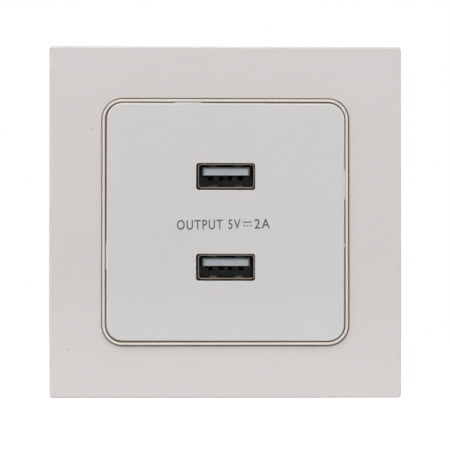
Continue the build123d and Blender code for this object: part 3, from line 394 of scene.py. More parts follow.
@dataclass(frozen=True)
class TonguedMoulding(Finish):
    """A port's insert with a soft grain, pale at the tongue's tip, with painted shade that darkens it
    towards the base.
    """

    # Painted shade behind the tip: the colour is whole at the first y and keeps only the share from the
    # second y inwards.
    tip_shade_span_mm: tuple[float, float] = (-7.97, -7.2)
    base_shade_share: float = 0.35
    # Drawn coarser than the real grain of about 0.05 mm, so that it shows.
    grain_mm: float = 0.2
    grain_depth_mm: float = 0.012
    grain_share: float = 0.02

    def paint(self, tree: bpy.types.NodeTree, shader: bpy.types.Node, place: bpy.types.NodeSocket) -> None:
        """The grain, and painted shade that darkens the colour behind the tip.

        Args:
            tree: The material's tree.
            shader: Its principled shader.
            place: The object coordinates.
        """
        grain = add_node(
            tree, "ShaderNodeTexNoise", {"Vector": place, "Scale": per(self.grain_mm), "Detail": 2.0}
        ).outputs["Fac"]
        tree.links.new(self.shade(tree, grain, self.grain_share), shader.inputs["Base Color"])
        paint_shade_inwards(tree, shader, place, self.tip_shade_span_mm, self.base_shade_share)
        self.vary_roughness(tree, shader, grain)
        raise_surface(tree, shader, grain, self.grain_depth_mm)


@dataclass(frozen=True)
class PlatedSheet(Finish):
    """Plated sheet metal: patches of crystal in the plating and fine rolling lines along one direction."""

    shine_share: float = 0.3
    patch_mm: float = 2.6
    patch_share: float = 0.10
    # Rolling lines are a few hundredths of a millimetre apart: drawn coarser, so that they show.
    line_mm: float = 0.22
    # The lines run along the axis that has the small value.
    line_stretch: tuple[float, float, float] = (0.04, 1.0, 1.0)
    line_depth_mm: float = 0.006

    def paint(self, tree: bpy.types.NodeTree, shader: bpy.types.Node, place: bpy.types.NodeSocket) -> None:
        """Patches in the colour, and lines in the relief and the shine.

        Args:
            tree: The material's tree.
            shader: Its principled shader.
            place: The object coordinates.
        """
        patches = add_node(
            tree,
            "ShaderNodeTexVoronoi",
            {"Vector": place, "Scale": per(self.patch_mm), "Smoothness": 0.6},
            feature="SMOOTH_F1",
        )
        tree.links.new(
            self.shade(tree, patches.outputs["Color"], self.patch_share), shader.inputs["Base Color"]
        )
        drawn = add_node(tree, "ShaderNodeMapping", {"Vector": place, "Scale": self.line_stretch})
        lines = add_node(
            tree,
            "ShaderNodeTexNoise",
            {"Vector": drawn.outputs[0], "Scale": per(self.line_mm), "Detail": 3.0},
        ).outputs["Fac"]
        self.vary_roughness(tree, shader, lines)
        raise_surface(tree, shader, lines, self.line_depth_mm)


@dataclass(frozen=True)
class SleeveSheet(PlatedSheet):
    """Plated sheet folded into a port's sleeve, with painted shade that darkens it towards its floor."""

    # Painted shade inside the sleeve: the colour is whole at the first y and keeps only the share from the
    # second y inwards.
    mouth_shade_span_mm: tuple[float, float] = (-8.85, -7.2)
    floor_shade_share: float = 0.3

    def paint(self, tree: bpy.types.NodeTree, shader: bpy.types.Node, place: bpy.types.NodeSocket) -> None:
        """The sheet's own detail, with painted shade inwards."""
        super().paint(tree, shader, place)
        paint_shade_inwards(tree, shader, place, self.mouth_shade_span_mm, self.floor_shade_share)


@dataclass(frozen=True)
class TurnedMetal(Finish):
    """Turned or drawn metal: close tool lines across one axis and a dull bloom in the colour."""

    shine_share: float = 0.35
    # Tool lines are about 0.1 mm apart: drawn coarser, so that they show.
    line_mm: float = 0.3
    line_axis: Axis = Axis.Y
    line_depth_mm: float = 0.004
    bloom_mm: float = 3.0
    bloom_share: float = 0.12

    def paint(self, tree: bpy.types.NodeTree, shader: bpy.types.Node, place: bpy.types.NodeSocket) -> None:
        """Tool lines in the relief, bloom in the colour and the shine.

        Args:
            tree: The material's tree.
            shader: Its principled shader.
            place: The object coordinates.
        """
        bloom = add_node(
            tree, "ShaderNodeTexNoise", {"Vector": place, "Scale": per(self.bloom_mm), "Detail": 5.0}
        ).outputs["Fac"]
        tree.links.new(self.shade(tree, bloom, self.bloom_share), shader.inputs["Base Color"])
        self.vary_roughness(tree, shader, bloom)
        lines = add_node(
            tree,
            "ShaderNodeTexWave",
            {"Vector": place, "Scale": per(self.line_mm) / math.tau, "Distortion": 1.5, "Detail": 1.0},
            bands_direction=self.line_axis.value,
        )
        raise_surface(tree, shader, lines.outputs["Fac"], self.line_depth_mm)


@dataclass(frozen=True)
class SolderMask(Finish):
    """Glass laminate under green mask: copper tracks show through it, and the weave ripples the shine."""

    track_mm: float = 2.4
    # As a share of the spacing.
    track_width: float = 0.12
    track_core: float = 0.8
    track_colour: str = "#3F8A55"
    weave_mm: float = 0.5
    weave_depth_mm: float = 0.01

    def paint(self, tree: bpy.types.NodeTree, shader: bpy.types.Node, place: bpy.types.NodeSocket) -> None:
        """Tracks in the colour and the weave in the relief.

        Args:
            tree: The material's tree.
            shader: Its principled shader.
            place: The object coordinates.
        """
        tracks = add_node(
            tree,
            "ShaderNodeTexVoronoi",
            {"Vector": place, "Scale": per(self.track_mm), "Randomness": 0.7},
            feature="DISTANCE_TO_EDGE",
        )
        width = self.track_width
        line = add_node(
            tree,
            "ShaderNodeMapRange",
            {"Value": tracks.outputs["Distance"], "From Min": width, "From Max": width * self.track_core},
        )
        mixed = add_node(
            tree,
            "ShaderNodeMix",
            {
                MIX_SHARE: line.outputs[0],
                MIX_FIRST: linear(self.colour),
                MIX_SECOND: linear(self.track_colour),
            },
            data_type="RGBA",
        )
        tree.links.new(mixed.outputs[MIX_RESULT], shader.inputs["Base Color"])
        weave = add_node(
            tree, "ShaderNodeTexNoise", {"Vector": place, "Scale": per(self.weave_mm), "Detail": 1.0}
        ).outputs["Fac"]
        self.vary_roughness(tree, shader, weave)
        raise_surface(tree, shader, weave, self.weave_depth_mm)


@dataclass(frozen=True)
class BandedWrap(Finish):
    """Tape, sleeve or lacquer in bands along one axis, each a little lighter or darker than the next."""

    band_mm: float = 1.6
    band_axis: Axis = Axis.Z
    band_share: float = 0.2
    ripple_depth_mm: float = 0.02

    def paint(self, tree: bpy.types.NodeTree, shader: bpy.types.Node, place: bpy.types.NodeSocket) -> None:
        """Bands in the colour, with a ripple at each overlap.

        Args:
            tree: The material's tree.
            shader: Its principled shader.
            place: The object coordinates.
        """
        bands = add_node(
            tree,
            "ShaderNodeTexWave",
            {"Vector": place, "Scale": per(self.band_mm) / math.tau, "Distortion": 0.6, "Detail": 2.0},
            bands_direction=self.band_axis.value,
            wave_profile="SAW",
        ).outputs["Fac"]
        tree.links.new(self.shade(tree, bands, self.band_share), shader.inputs["Base Color"])
        self.vary_roughness(tree, shader, bands)
        raise_surface(tree, shader, bands, self.ripple_depth_mm)


@dataclass(frozen=True)
class PadPrint(Finish):
    """Pad-printed ink: a thin matt film that covers unevenly."""

    # Drawn coarser than the ink's real grain of a few hundredths of a millimetre, so that it shows.
    grain_mm: float = 0.12
    cover_share: float = 0.18

    def paint(self, tree: bpy.types.NodeTree, shader: bpy.types.Node, place: bpy.types.NodeSocket) -> None:
        """Uneven cover in the colour and the shine.

        Args:
            tree: The material's tree.
            shader: Its principled shader.
            place: The object coordinates.
        """
        cover = add_node(
            tree, "ShaderNodeTexNoise", {"Vector": place, "Scale": per(self.grain_mm), "Detail": 2.0}
        ).outputs["Fac"]
        tree.links.new(self.shade(tree, cover, self.cover_share), shader.inputs["Base Color"])
        self.vary_roughness(tree, shader, cover)


# Polished ABS in light grey: an even face with a clear shine. The frame is a shade warmer than the plate.
FRAME_GREY = PolishedMoulding("polished_abs_warm_grey", "#D3CFCE", 0.07, seam_shade_mm=(-8.65, -6.75))
PLATE_GREY = PolishedMoulding("polished_abs_grey", "#D1CFCE", 0.07, seam_shade_mm=(-9.4, -7.65))
# The bead ring: the same plastic, a little creamy, and made paler as painted highlight for the light that
# its rounded bead catches.
RING_GREY = PolishedMoulding("polished_abs_creamy_grey", "#DBD4CA", 0.07, seam_shade_mm=(-8.65, -6.85))
# Flame-proof polycarbonate from a spark-eroded tool: a neutral pale grey, quite matt.
CASING_GREY = SparkMoulding("spark_grained_polycarbonate", "#C9C9C4", 0.55, ior=1.58)
# Zinc on stamped steel: cool, bright and patchy, with rolling lines.
ZINC = PlatedSheet("zinc_plated_steel", "#C3C6C6", 0.34, metallic=1.0)
# Zinc on small screws: the same plating, with the lines of thread rolling.
SCREW_ZINC = TurnedMetal("zinc_plated_screw", "#C6C8C6", 0.3, metallic=1.0)
# Nickel on folded strip: a warm grey with lines along the sleeve, and painted shade towards the sleeve's
# floor.
NICKEL = SleeveSheet(
    "nickel_plated_strip", "#7A736B", 0.22, metallic=1.0, patch_mm=4.0, line_stretch=(1.0, 0.05, 1.0)
)
# Filled polyester: a dense bluish grey with a soft grain, and painted shade that darkens it where it goes
# inwards.
PORT_GREY = TonguedMoulding("filled_polyester_blue_grey", "#A8AFB4", 0.5)
# Thin gold over nickel on sprung bronze: a muted yellow.
GOLD = TurnedMetal("gold_flashed_bronze", "#B79F6B", 0.32, metallic=1.0)
# Green mask on glass laminate: a deep green with paler tracks.
LAMINATE = SolderMask("green_solder_mask", "#1C5A30", 0.35)
# Black epoxy from a matt mould: an even black with a dull sheen.
EPOXY = SparkMoulding("matt_black_epoxy", "#222222", 0.6)
# Sintered ferrite: ground, dark and close-grained.
FERRITE = SparkMoulding("ground_ferrite", "#3A3A3D", 0.45, grain_mm=0.5, cloud_share=0.15)
# Yellow polyester tape in overlapping turns: a shiny yellow in bands.
TAPE = BandedWrap("yellow_polyester_tape", "#D9B02E", 0.35)
# Shrunk sleeve on a capacitor's can: glossy and dark blue.
SLEEVE = BandedWrap("dark_shrunk_sleeve", "#232A40", 0.25, band_mm=9.0, band_axis=Axis.X, band_share=0.35)
# Epoxy dip on a disc: glossy blue with a soft skin.
DIP = SparkMoulding("blue_dipped_epoxy", "#2B4F8F", 0.3, grain_mm=1.2)
# Lacquer on a resistor: pale blue, in lighter and darker rings.
LACQUER = BandedWrap("pale_resistor_lacquer", "#9FB6BE", 0.4, band_mm=2.1, band_axis=Axis.X, band_share=0.5)
# Free-cutting brass, machined: a warm yellow with tool lines.
BRASS = TurnedMetal("machined_brass", "#C9A65C", 0.3, metallic=1.0)
# Dark blue-grey pad-printing ink: matt and a little uneven.
INK = PadPrint("blue_grey_ink", "#4C5062", 0.5)
# The light of the floor and the surround: plain white.
WHITE = linear("#FFFFFF")


def dress(finish: Finish, nodes: Iterable[str]) -> None:
    """Give CAD nodes a finish in their material slots.

    Args:
        finish: The finish.
        nodes: The nodes' names.
    """
    for name in nodes:
        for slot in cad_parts[name].material_slots:
            slot.material = finish.material()
        log.info("%s dressed in %s", name, finish.name)


def deselect() -> None:
    """Leave edit mode and select nothing."""
    if bpy.context.mode != "OBJECT":
        bpy.ops.object.mode_set(mode="OBJECT")
    bpy.ops.object.select_all(action="DESELECT")


def take(piece: bpy.types.Object) -> None:
    """Make one object the selected and active one.

    Args:
        piece: The object.
    """
    deselect()
    piece.select_set(True)
    bpy.context.view_layer.objects.active = piece


def settle(piece: bpy.types.Object) -> None:
    """Put an object's place, turn and size into its mesh."""
    take(piece)
    bpy.ops.object.transform_apply(location=True, rotation=True, scale=True)


def apply_modifier(piece: bpy.types.Object, kind: str, **settings: Any) -> None:
    """Add a modifier, set it and apply it.

    Args:
        piece: The object to change.
        kind: The modifier's type.
        settings: The modifier's properties.
    """
    take(piece)
    modifier = piece.modifiers.new(kind.lower(), kind)
    for name, value in settings.items():
        setattr(modifier, name, value)
    bpy.ops.object.modifier_apply(modifier=modifier.name)


def cut_off(piece: bpy.types.Object, level: float, above: bool) -> None:
    """Cut a mesh across its z axis, drop one side and close the cut.

    Args:
        piece: The object to cut.
        level: Where the cut is.
        above: Whether the side above the cut is dropped.
    """
    take(piece)
    bpy.ops.object.mode_set(mode="EDIT")
    bpy.ops.mesh.select_all(action="SELECT")
    bpy.ops.mesh.bisect(
        plane_co=(0, 0, level), plane_no=(0, 0, 1), use_fill=True, clear_outer=above, clear_inner=not above
    )
    bpy.ops.object.mode_set(mode="OBJECT")


def finish_piece(piece: bpy.types.Object, name: str, body: str, finish: Finish) -> None:
    """Name a new piece, dress it and let it ride on its body.

    Args:
        piece: The finished mesh object, settled at the origin.
        name: The piece's name.
        body: The CAD body that carries it.
        finish: Its finish.
    """
    piece.name = name
    piece.data.name = name
    piece.data.materials.clear()
    piece.data.materials.append(finish.material())
    take(piece)
    bpy.ops.object.shade_smooth_by_angle(angle=SMOOTH_ANGLE)
    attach(piece, body)
    log.info("%s made on %s in %s", name, body, finish.name)


def join(pieces: list[bpy.types.Object]) -> bpy.types.Object:
    """Join several mesh objects into the first.

    Args:
        pieces: The objects.

    Returns:
        The joined object.
    """
    take(pieces[0])
    for piece in pieces:
        piece.select_set(True)
    bpy.ops.object.join()
    return pieces[0]


def lettering(
    words: str, height: float, width: float, thick: float, spacing: float = 1.2, swell: float = 0.012
) -> bpy.types.Object:
    """Solid letters, lying face up and centred on the origin.

    Args:
        words: The text.
        height: The height of a capital.
        width: The width of the whole line.
        thick: The letters' thickness.
        spacing: The space between letters, as a share of the font's own.
        swell: How far the strokes are fattened, as a share of the letters' size.

    Returns:
        The letters as one mesh object.
    """
    deselect()
    bpy.ops.object.text_add()
    piece = bpy.context.object
    piece.data.body = words
    piece.data.space_character = spacing
    piece.data.offset = swell
    # Any depth will do here: it is scaled to the thickness below.
    piece.data.extrude = 0.5
    bpy.ops.object.convert(target="MESH")
    bpy.ops.object.origin_set(type="ORIGIN_GEOMETRY", center="BOUNDS")
    piece.location = (0, 0, 0)
    piece.scale = (width / piece.dimensions.x, height / piece.dimensions.y, thick / piece.dimensions.z)
    settle(piece)
    return piece


def bar(
    left: float, right: float, level: float, height: float, thick: float, edge_share: float = 0.25
) -> bpy.types.Object:
    """A flat stroke of print, lying face up, with softened edges.

    Args:
        left: Its left end.
        right: Its right end.
        level: Its middle's y.
        height: Its width across.
        thick: Its thickness.
        edge_share: How much of the thickness the softened edges take.

    Returns:
        The stroke as a mesh object.
    """
    deselect()
    bpy.ops.mesh.primitive_cube_add(size=1, location=((left + right) / 2, level, 0))
    piece = bpy.context.object
    piece.scale = (right - left, height, thick)
    settle(piece)
    apply_modifier(piece, "BEVEL", width=thick * edge_share, segments=1)
    return piece


@dataclass
class Face:
    """The frame, the bead ring and the centre plate, with the line of print between the ports."""

    words_left: str = "OUTPUT 5V"
    words_right: str = "2A"
    letter_height: float = 2.25 * MM
    left_width: float = 14.6 * MM
    sign_width: float = 2.0 * MM
    right_width: float = 3.6 * MM
    word_gap: float = 0.6 * MM
    stroke: float = 0.26 * MM
    sign_rise: float = 0.416 * MM
    dash_width: float = 0.4545 * MM
    dash_count: int = 3
    film: float = 0.02 * MM
    # The film's middle stands off the face by this, so that a quarter of the film is sunk in it.
    film_lift: float = 0.005 * MM
    tilt_deg: float = 0.9
    shift: tuple[float, float] = (-0.43 * MM, -0.52 * MM)

    def build(self) -> None:
        """Print the line of letters on the plate."""
        total = self.left_width + self.sign_width + self.right_width + 2 * self.word_gap
        left = lettering(self.words_left, self.letter_height, self.left_width, self.film)
        left.location.x = (self.left_width - total) / 2
        settle(left)
        right = lettering(self.words_right, self.letter_height, self.right_width, self.film)
        right.location.x = (total - self.right_width) / 2
        settle(right)
        start = self.left_width + self.word_gap - total / 2
        line = join([left, right, *self.make_sign(start)])
        plate_low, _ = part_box("centre_plate")
        line.location = (self.shift[0], plate_low.y - self.film_lift, self.shift[1])
        line.rotation_euler = (math.pi / 2, -math.radians(self.tilt_deg), 0)
        settle(line)
        finish_piece(line, "rating_print", "insert", INK)

    def make_sign(self, start: float) -> list[bpy.types.Object]:
        """The sign for direct current: a stroke above a row of dashes.

        Args:
            start: The sign's left end.

        Returns:
            The strokes.
        """
        above = bar(start, start + self.sign_width, self.sign_rise, self.stroke, self.film)
        below = bar(start, start + self.dash_width, -self.sign_rise, self.stroke, self.film)
        pitch = (self.sign_width - self.dash_width) / (self.dash_count - 1)
        apply_modifier(
            below,
            "ARRAY",
            count=self.dash_count,
            use_relative_offset=False,
            use_constant_offset=True,
            constant_offset_displace=(pitch, 0, 0),
        )
        return [above, below]

    def dress(self) -> None:
        """Polished plastic all over."""
        dress(FRAME_GREY, ("decor_frame",))
        dress(RING_GREY, ("trim_ring",))
        dress(PLATE_GREY, ("centre_plate",))


@dataclass
class ChargingPort:
    """One port: its folded sleeve, the moulded insert and the four contacts."""

    port: Port

    def dress(self) -> None:
        """Nickel, filled polyester and gold."""
        name = self.port.value
        dress(NICKEL, (f"usb_shell_{name}",))
        dress(PORT_GREY, (f"usb_insulator_{name}",))
        dress(GOLD, (f"usb_contacts_{name}",))


@dataclass
class ClawScrew:
    """The pattern of a claw screw: a rolled thread, and a head whose cross recess has sloping walls."""

    thread_pitch: float = 0.5 * MM
    thread_depth: float = 0.27 * MM
    thread_steps: int = 32
    spare_turns: int = 2
    seam_weld: float = 0.001 * MM
    cut_weld: float = 0.0001 * MM
    shank_r: float = 1.5 * MM
    head_height: float = 1.8 * MM
    head_sides: int = 64
    head_edge: float = 0.55 * MM
    head_edge_steps: int = 6
    recess_length: float = 3.2 * MM
    recess_width: float = 0.8 * MM
    recess_depth: float = 1.0 * MM
    recess_slope: float = 0.62

    def build(self, head_r: float, length: float) -> bpy.types.Object:
        """Model the screw along z, with its head above z = 0.

        Args:
            head_r: The head's radius.
            length: The length over all.

        Returns:
            The screw as a mesh object.
        """
        shank = self.make_thread(length - self.head_height)
        head = self.make_head(head_r)
        apply_modifier(shank, "BOOLEAN", operation="UNION", object=head, solver="EXACT")
        bpy.data.objects.remove(head)
        return shank

    def make_thread(self, length: float) -> bpy.types.Object:
        """A threaded shank from z = 0 downwards, closed at both ends.

        Args:
            length: The shank's length.

        Returns:
            The shank as a mesh object.
        """
        deselect()
        bpy.ops.mesh.primitive_plane_add(size=self.thread_pitch)
        piece = bpy.context.object
        bpy.ops.object.mode_set(mode="EDIT")
        bpy.ops.mesh.select_all(action="SELECT")
        bpy.ops.mesh.merge(type="CENTER")
        # One flank goes out and the next comes back, which makes one ridge of the thread.
        for outwards in (1, -1):
            flank = (outwards * self.thread_depth, 0, self.thread_pitch / 2)
            bpy.ops.mesh.extrude_region_move(TRANSFORM_OT_translate={"value": flank})
        bpy.ops.object.mode_set(mode="OBJECT")
        piece.location = (self.shank_r - self.thread_depth, 0, -length - self.thread_pitch)
        settle(piece)
        turns = math.ceil(length / self.thread_pitch) + self.spare_turns
        apply_modifier(
            piece,
            "SCREW",
            axis="Z",
            screw_offset=self.thread_pitch,
            iterations=turns,
            steps=self.thread_steps,
            render_steps=self.thread_steps,
            use_merge_vertices=True,
            merge_threshold=self.seam_weld,
        )
        cut_off(piece, -length, above=False)
        cut_off(piece, 0, above=True)
        bpy.ops.object.mode_set(mode="EDIT")
        bpy.ops.mesh.select_all(action="SELECT")
        bpy.ops.mesh.remove_doubles(threshold=self.cut_weld)
        bpy.ops.mesh.normals_make_consistent(inside=False)
        bpy.ops.object.mode_set(mode="OBJECT")
        return piece

    def make_head(self, radius: float) -> bpy.types.Object:
        """A rounded head on z = 0 with a cross recess in its top.

        Args:
            radius: The head's radius.

        Returns:
            The head as a mesh object.
        """
        deselect()
        bpy.ops.mesh.primitive_cylinder_add(
            vertices=self.head_sides,
            radius=radius,
            depth=self.head_height,
            location=(0, 0, self.head_height / 2),
        )
        head = bpy.context.object
        settle(head)
        for edge in head.data.edges:
            ends = [head.data.vertices[index].co.z for index in edge.vertices]
            edge.select = min(ends) > self.head_height / 2
        bpy.ops.object.mode_set(mode="EDIT")
        bpy.ops.mesh.select_mode(type="EDGE")
        bpy.ops.mesh.bevel(offset=self.head_edge, segments=self.head_edge_steps, profile=0.5)
        bpy.ops.object.mode_set(mode="OBJECT")
        for turn in range(2):
            blade = self.make_recess_blade()
            blade.rotation_euler.z = turn * math.pi / 2
            settle(blade)
            apply_modifier(head, "BOOLEAN", operation="DIFFERENCE", object=blade, solver="EXACT")
            bpy.data.objects.remove(blade)
        return head

    def make_recess_blade(self) -> bpy.types.Object:
        """One arm of the recess as a cutter, narrower towards its floor.

        Returns:
            The cutter as a mesh object.
        """
        deselect()
        middle = self.head_height
        bpy.ops.mesh.primitive_cube_add(size=1, location=(0, 0, middle))
        blade = bpy.context.object
        blade.scale = (self.recess_length, self.recess_width, 2 * self.recess_depth)
        settle(blade)
        for vertex in blade.data.vertices:
            vertex.select = vertex.co.z < middle
        bpy.ops.object.mode_set(mode="EDIT")
        bpy.ops.mesh.select_mode(type="VERT")
        bpy.ops.transform.resize(value=(self.recess_slope, self.recess_slope, 1))
        bpy.ops.object.mode_set(mode="OBJECT")
        return blade


@dataclass
class ClawDrive:
    """The two spreading claws and the screws that draw them open."""

    screw: ClawScrew = field(default_factory=ClawScrew)

    def build(self) -> None:
        """Model one screw, and lay a copy of it where each CAD screw is."""
        low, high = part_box("claw_screw_left")
        pattern = self.screw.build((high.x - low.x) / 2, high.y - low.y)
        for side in Side:
            self.lay_screw(pattern, side)
        bpy.data.objects.remove(pattern)

    def lay_screw(self, pattern: bpy.types.Object, side: Side) -> None:
        """Lay a copy of the screw in the place of the CAD one.

        Args:
            pattern: The screw to copy.
            side: Which of the two it is.
        """
        node = f"claw_screw_{side.value}"
        low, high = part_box(node)
        piece = pattern.copy()
        piece.data = pattern.data.copy()
        bpy.context.collection.objects.link(piece)
        piece.location = ((low.x + high.x) / 2, low.y + self.screw.head_height, (low.z + high.z) / 2)
        piece.rotation_euler = (math.pi / 2, 0, 0)
        settle(piece)
        finish_piece(piece, f"threaded_claw_screw_{side.value}", node, SCREW_ZINC)
        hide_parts(node)

    def dress(self) -> None:
        """Zinc on the claws."""
        dress(ZINC, [f"claw_{side.value}" for side in Side])


@dataclass
class Casing:
    """The support plate and the casing behind it, with moulded letters beside the terminal screws."""

    letter_height: float = 2.6 * MM
    letter_width: float = 1.9 * MM
    letter_rise: float = 0.15 * MM
    letter_gap: float = 5.0 * MM

    def build(self) -> None:
        """Mould a letter on the casing's lower side, in front of each terminal screw."""
        case_low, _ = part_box("rear_housing")
        for wire in Wire:
            word = wire.name.lower()
            low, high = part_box(f"terminal_screw_{word}")
            # Half of the letter is sunk in the casing.
            letter = lettering(wire.value, self.letter_height, self.letter_width, 2 * self.letter_rise)
            letter.location = ((low.x + high.x) / 2, (low.y + high.y) / 2 - self.letter_gap, case_low.z)
            letter.rotation_euler = (math.pi, 0, 0)
            settle(letter)
            finish_piece(letter, f"mark_{word}", "insert", CASING_GREY)

    def dress(self) -> None:
        """Grained plastic on the casing, zinc on the plate and the screws."""
        dress(CASING_GREY, ("front_housing", "rear_housing"))
        dress(ZINC, ("support_plate",))
        dress(SCREW_ZINC, ("housing_screws", "terminal_screw_live", "terminal_screw_neutral"))
        dress(BRASS, ("terminal_block_live", "terminal_block_neutral"))


@dataclass
class Charger:
    """The boards and the components in the closed casing."""

    def dress(self) -> None:
        """Each component in its own finish."""
        dress(LAMINATE, ("usb_board", "power_board"))
        dress(GOLD, ("board_link_pins",))
        dress(EPOXY, ("board_link_header", "transformer_bobbin", "line_choke"))
        dress(EPOXY, ("bridge_rectifier", "controller_chip", "output_rectifier"))
        dress(FERRITE, ("transformer_core",))
        dress(TAPE, ("transformer_winding",))
        dress(SLEEVE, ("input_capacitors", "output_capacitor"))
        dress(DIP, ("safety_capacitor", "varistor"))
        dress(LACQUER, ("fuse_resistor",))


@dataclass
class Lamp:
    """A square soft lamp that points at the middle of the socket."""

    name: str
    place: tuple[float, float, float]
    side: float
    watts: float

    def build(self) -> None:
        """Hang the lamp."""
        deselect()
        bpy.ops.object.light_add(type="AREA", location=self.place)
        lamp = bpy.context.object
        lamp.name = self.name
        lamp.data.shape = "SQUARE"
        lamp.data.size = self.side
        lamp.data.energy = self.watts
        lamp.rotation_euler = (-Vector(self.place)).to_track_quat("-Z", "Y").to_euler()


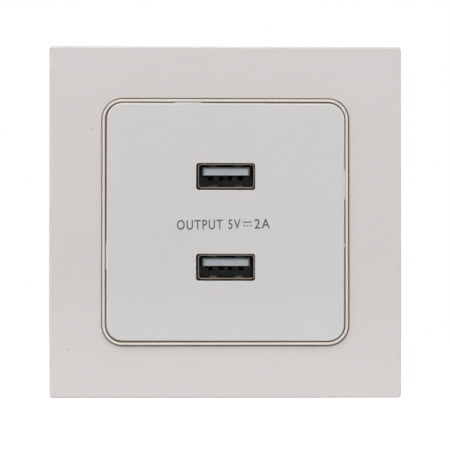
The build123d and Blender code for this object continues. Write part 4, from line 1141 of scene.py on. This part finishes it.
@dataclass
class Studio:
    """A pale floor, soft lamps, a white surround and a camera in front of the face."""

    view_width: float = 103.3 * MM
    view_shift: tuple[float, float] = (-0.09 * MM, -0.68 * MM)
    view_turn_deg: tuple[float, float] = (-1.3, -0.76)
    lens: float = 150.0
    sensor: float = 36.0
    near_clip: float = 10 * MM
    floor_drop: float = 60 * MM
    floor_side: float = 3.0
    floor_colour: str = "#F2F1EF"
    floor_roughness: float = 0.9
    floor_glow: tuple[float, float] = (0.45, 1.0)
    floor_reach: tuple[float, float] = (0.12, 0.3)
    ambient: float = 0.24
    patch_deg: float = 35.0
    patch_power: float = 3.0
    patch_drop: float = 0.9
    horizon_deg: tuple[float, float] = (-1.9, -1.2)
    lamps: tuple[Lamp, ...] = (
        Lamp("top_lamp", (0.0, -0.6, 0.8), 0.8, 6.9),
        Lamp("right_lamp", (0.75, -0.6, 0.15), 0.7, 1.0),
        Lamp("left_lamp", (-0.75, -0.55, 0.1), 0.7, 1.9),
        Lamp("back_lamp", (0.3, 0.9, 0.6), 0.8, 4.0),
    )

    def build(self) -> None:
        """Set up everything that isn't the socket."""
        scene = bpy.context.scene
        scene.view_settings.view_transform = "Standard"
        self.make_floor()
        self.make_surround(scene)
        for lamp in self.lamps:
            lamp.build()
        self.make_camera(scene)

    def seen(self, tree: bpy.types.NodeTree) -> bpy.types.NodeSocket:
        """Whether a ray is one that shows the surround, directly or in a reflection.

        Args:
            tree: The tree that asks.

        Returns:
            A socket with 1 or 0.
        """
        path = add_node(tree, "ShaderNodeLightPath", {})
        direct = add_node(
            tree,
            "ShaderNodeMath",
            {0: path.outputs["Is Camera Ray"], 1: path.outputs["Is Glossy Ray"]},
            operation="MAXIMUM",
        )
        every = add_node(
            tree,
            "ShaderNodeMath",
            {0: direct.outputs[0], 1: path.outputs["Is Transmission Ray"]},
            operation="MAXIMUM",
        )
        return every.outputs[0]

    def make_floor(self) -> None:
        """Lay the floor below the socket, well out of the frontal view."""
        deselect()
        level = CAD_BOX[0].z - self.floor_drop
        bpy.ops.mesh.primitive_plane_add(size=self.floor_side, location=(0, 0, level))
        floor = bpy.context.object
        floor.name = "floor"
        # A pale matt floor: white from a distance, and a little shaded under the socket.
        material = bpy.data.materials.new("pale_floor")
        material.use_nodes = True
        tree = material.node_tree
        shader = tree.nodes["Principled BSDF"]
        shader.inputs["Base Color"].default_value = linear(self.floor_colour)
        shader.inputs["Roughness"].default_value = self.floor_roughness
        shader.inputs["Emission Color"].default_value = WHITE
        place = add_node(tree, "ShaderNodeTexCoord", {}).outputs["Object"]
        away = add_node(tree, "ShaderNodeVectorMath", {0: place}, operation="LENGTH")
        share = add_node(
            tree,
            "ShaderNodeMapRange",
            {
                "Value": away.outputs["Value"],
                "From Min": self.floor_reach[0],
                "From Max": self.floor_reach[1],
                "To Min": self.floor_glow[0],
                "To Max": self.floor_glow[1],
            },
        )
        glow = add_node(
            tree, "ShaderNodeMath", {0: self.seen(tree), 1: share.outputs[0]}, operation="MULTIPLY"
        )
        tree.links.new(glow.outputs[0], shader.inputs["Emission Strength"])
        floor.data.materials.append(material)

    def make_surround(self, scene: bpy.types.Scene) -> None:
        """A surround that looks white and lights softly.

        Args:
            scene: The scene that gets it.
        """
        scene.world = bpy.data.worlds.new("surround")
        scene.world.use_nodes = True
        tree = scene.world.node_tree
        tree.nodes.clear()
        light = add_node(tree, "ShaderNodeBackground", {"Strength": self.ambient, "Color": WHITE})
        white = add_node(tree, "ShaderNodeBackground", {"Strength": self.reflected(tree), "Color": WHITE})
        mixed = add_node(
            tree, "ShaderNodeMixShader", {0: self.seen(tree), 1: light.outputs[0], 2: white.outputs[0]}
        )
        add_node(tree, "ShaderNodeOutputWorld", {"Surface": mixed.outputs[0]})

    def reflected(self, tree: bpy.types.NodeTree) -> bpy.types.NodeSocket:
        """The surround's strength: white, with a soft dim patch in reflections, down to a horizon.

        Args:
            tree: The surround's tree.

        Returns:
            A socket with the strength.
        """
        way = add_node(tree, "ShaderNodeTexCoord", {}).outputs["Generated"]
        facing = add_node(tree, "ShaderNodeVectorMath", {0: way, 1: (0, -1, 0)}, operation="DOT_PRODUCT")
        angle = add_node(tree, "ShaderNodeMath", {0: facing.outputs["Value"]}, operation="ARCCOSINE")
        near = add_node(
            tree,
            "ShaderNodeMapRange",
            {"Value": angle.outputs[0], "From Min": math.radians(self.patch_deg), "From Max": 0.0},
        )
        soft = add_node(
            tree, "ShaderNodeMath", {0: near.outputs[0], 1: self.patch_power}, operation="POWER"
        )
        height = add_node(tree, "ShaderNodeSeparateXYZ", {0: way})
        low, high = (math.sin(math.radians(degrees)) for degrees in self.horizon_deg)
        depth = add_node(
            tree,
            "ShaderNodeMapRange",
            {"Value": height.outputs["Z"], "From Min": low, "From Max": high, "To Max": self.patch_drop},
        )
        path = add_node(tree, "ShaderNodeLightPath", {})
        drop = add_node(
            tree,
            "ShaderNodeMath",
            {0: path.outputs["Is Glossy Ray"], 1: depth.outputs[0]},
            operation="MULTIPLY",
        )
        dim = add_node(
            tree, "ShaderNodeMath", {0: soft.outputs[0], 1: drop.outputs[0]}, operation="MULTIPLY"
        )
        strength = add_node(tree, "ShaderNodeMath", {0: 1.0, 1: dim.outputs[0]}, operation="SUBTRACT")
        return strength.outputs[0]

    def make_camera(self, scene: bpy.types.Scene) -> None:
        """A long lens, a touch to the left of the socket's axis and below it.

        Args:
            scene: The scene that gets it.
        """
        deselect()
        plate_low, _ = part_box("centre_plate")
        distance = self.view_width * self.lens / self.sensor
        turn, lift = (math.radians(degrees) for degrees in self.view_turn_deg)
        way = Vector((math.sin(turn) * math.cos(lift), -math.cos(turn) * math.cos(lift), math.sin(lift)))
        target = Vector((self.view_shift[0], plate_low.y, self.view_shift[1]))
        bpy.ops.object.camera_add(location=target + way * distance)
        camera = bpy.context.object
        camera.rotation_euler = (-way).to_track_quat("-Z", "Y").to_euler()
        camera.data.lens = self.lens
        camera.data.sensor_width = self.sensor
        camera.data.clip_start = self.near_clip
        scene.camera = camera


def main() -> None:
    """Build and dress the socket, then set the studio."""
    logging.basicConfig(level=logging.INFO)
    face = Face()
    face.build()
    face.dress()
    for port in Port:
        ChargingPort(port).dress()
    drive = ClawDrive()
    drive.build()
    drive.dress()
    casing = Casing()
    casing.build()
    casing.dress()
    Charger().dress()
    Studio().build()


if __name__ == "__main__":
    main()
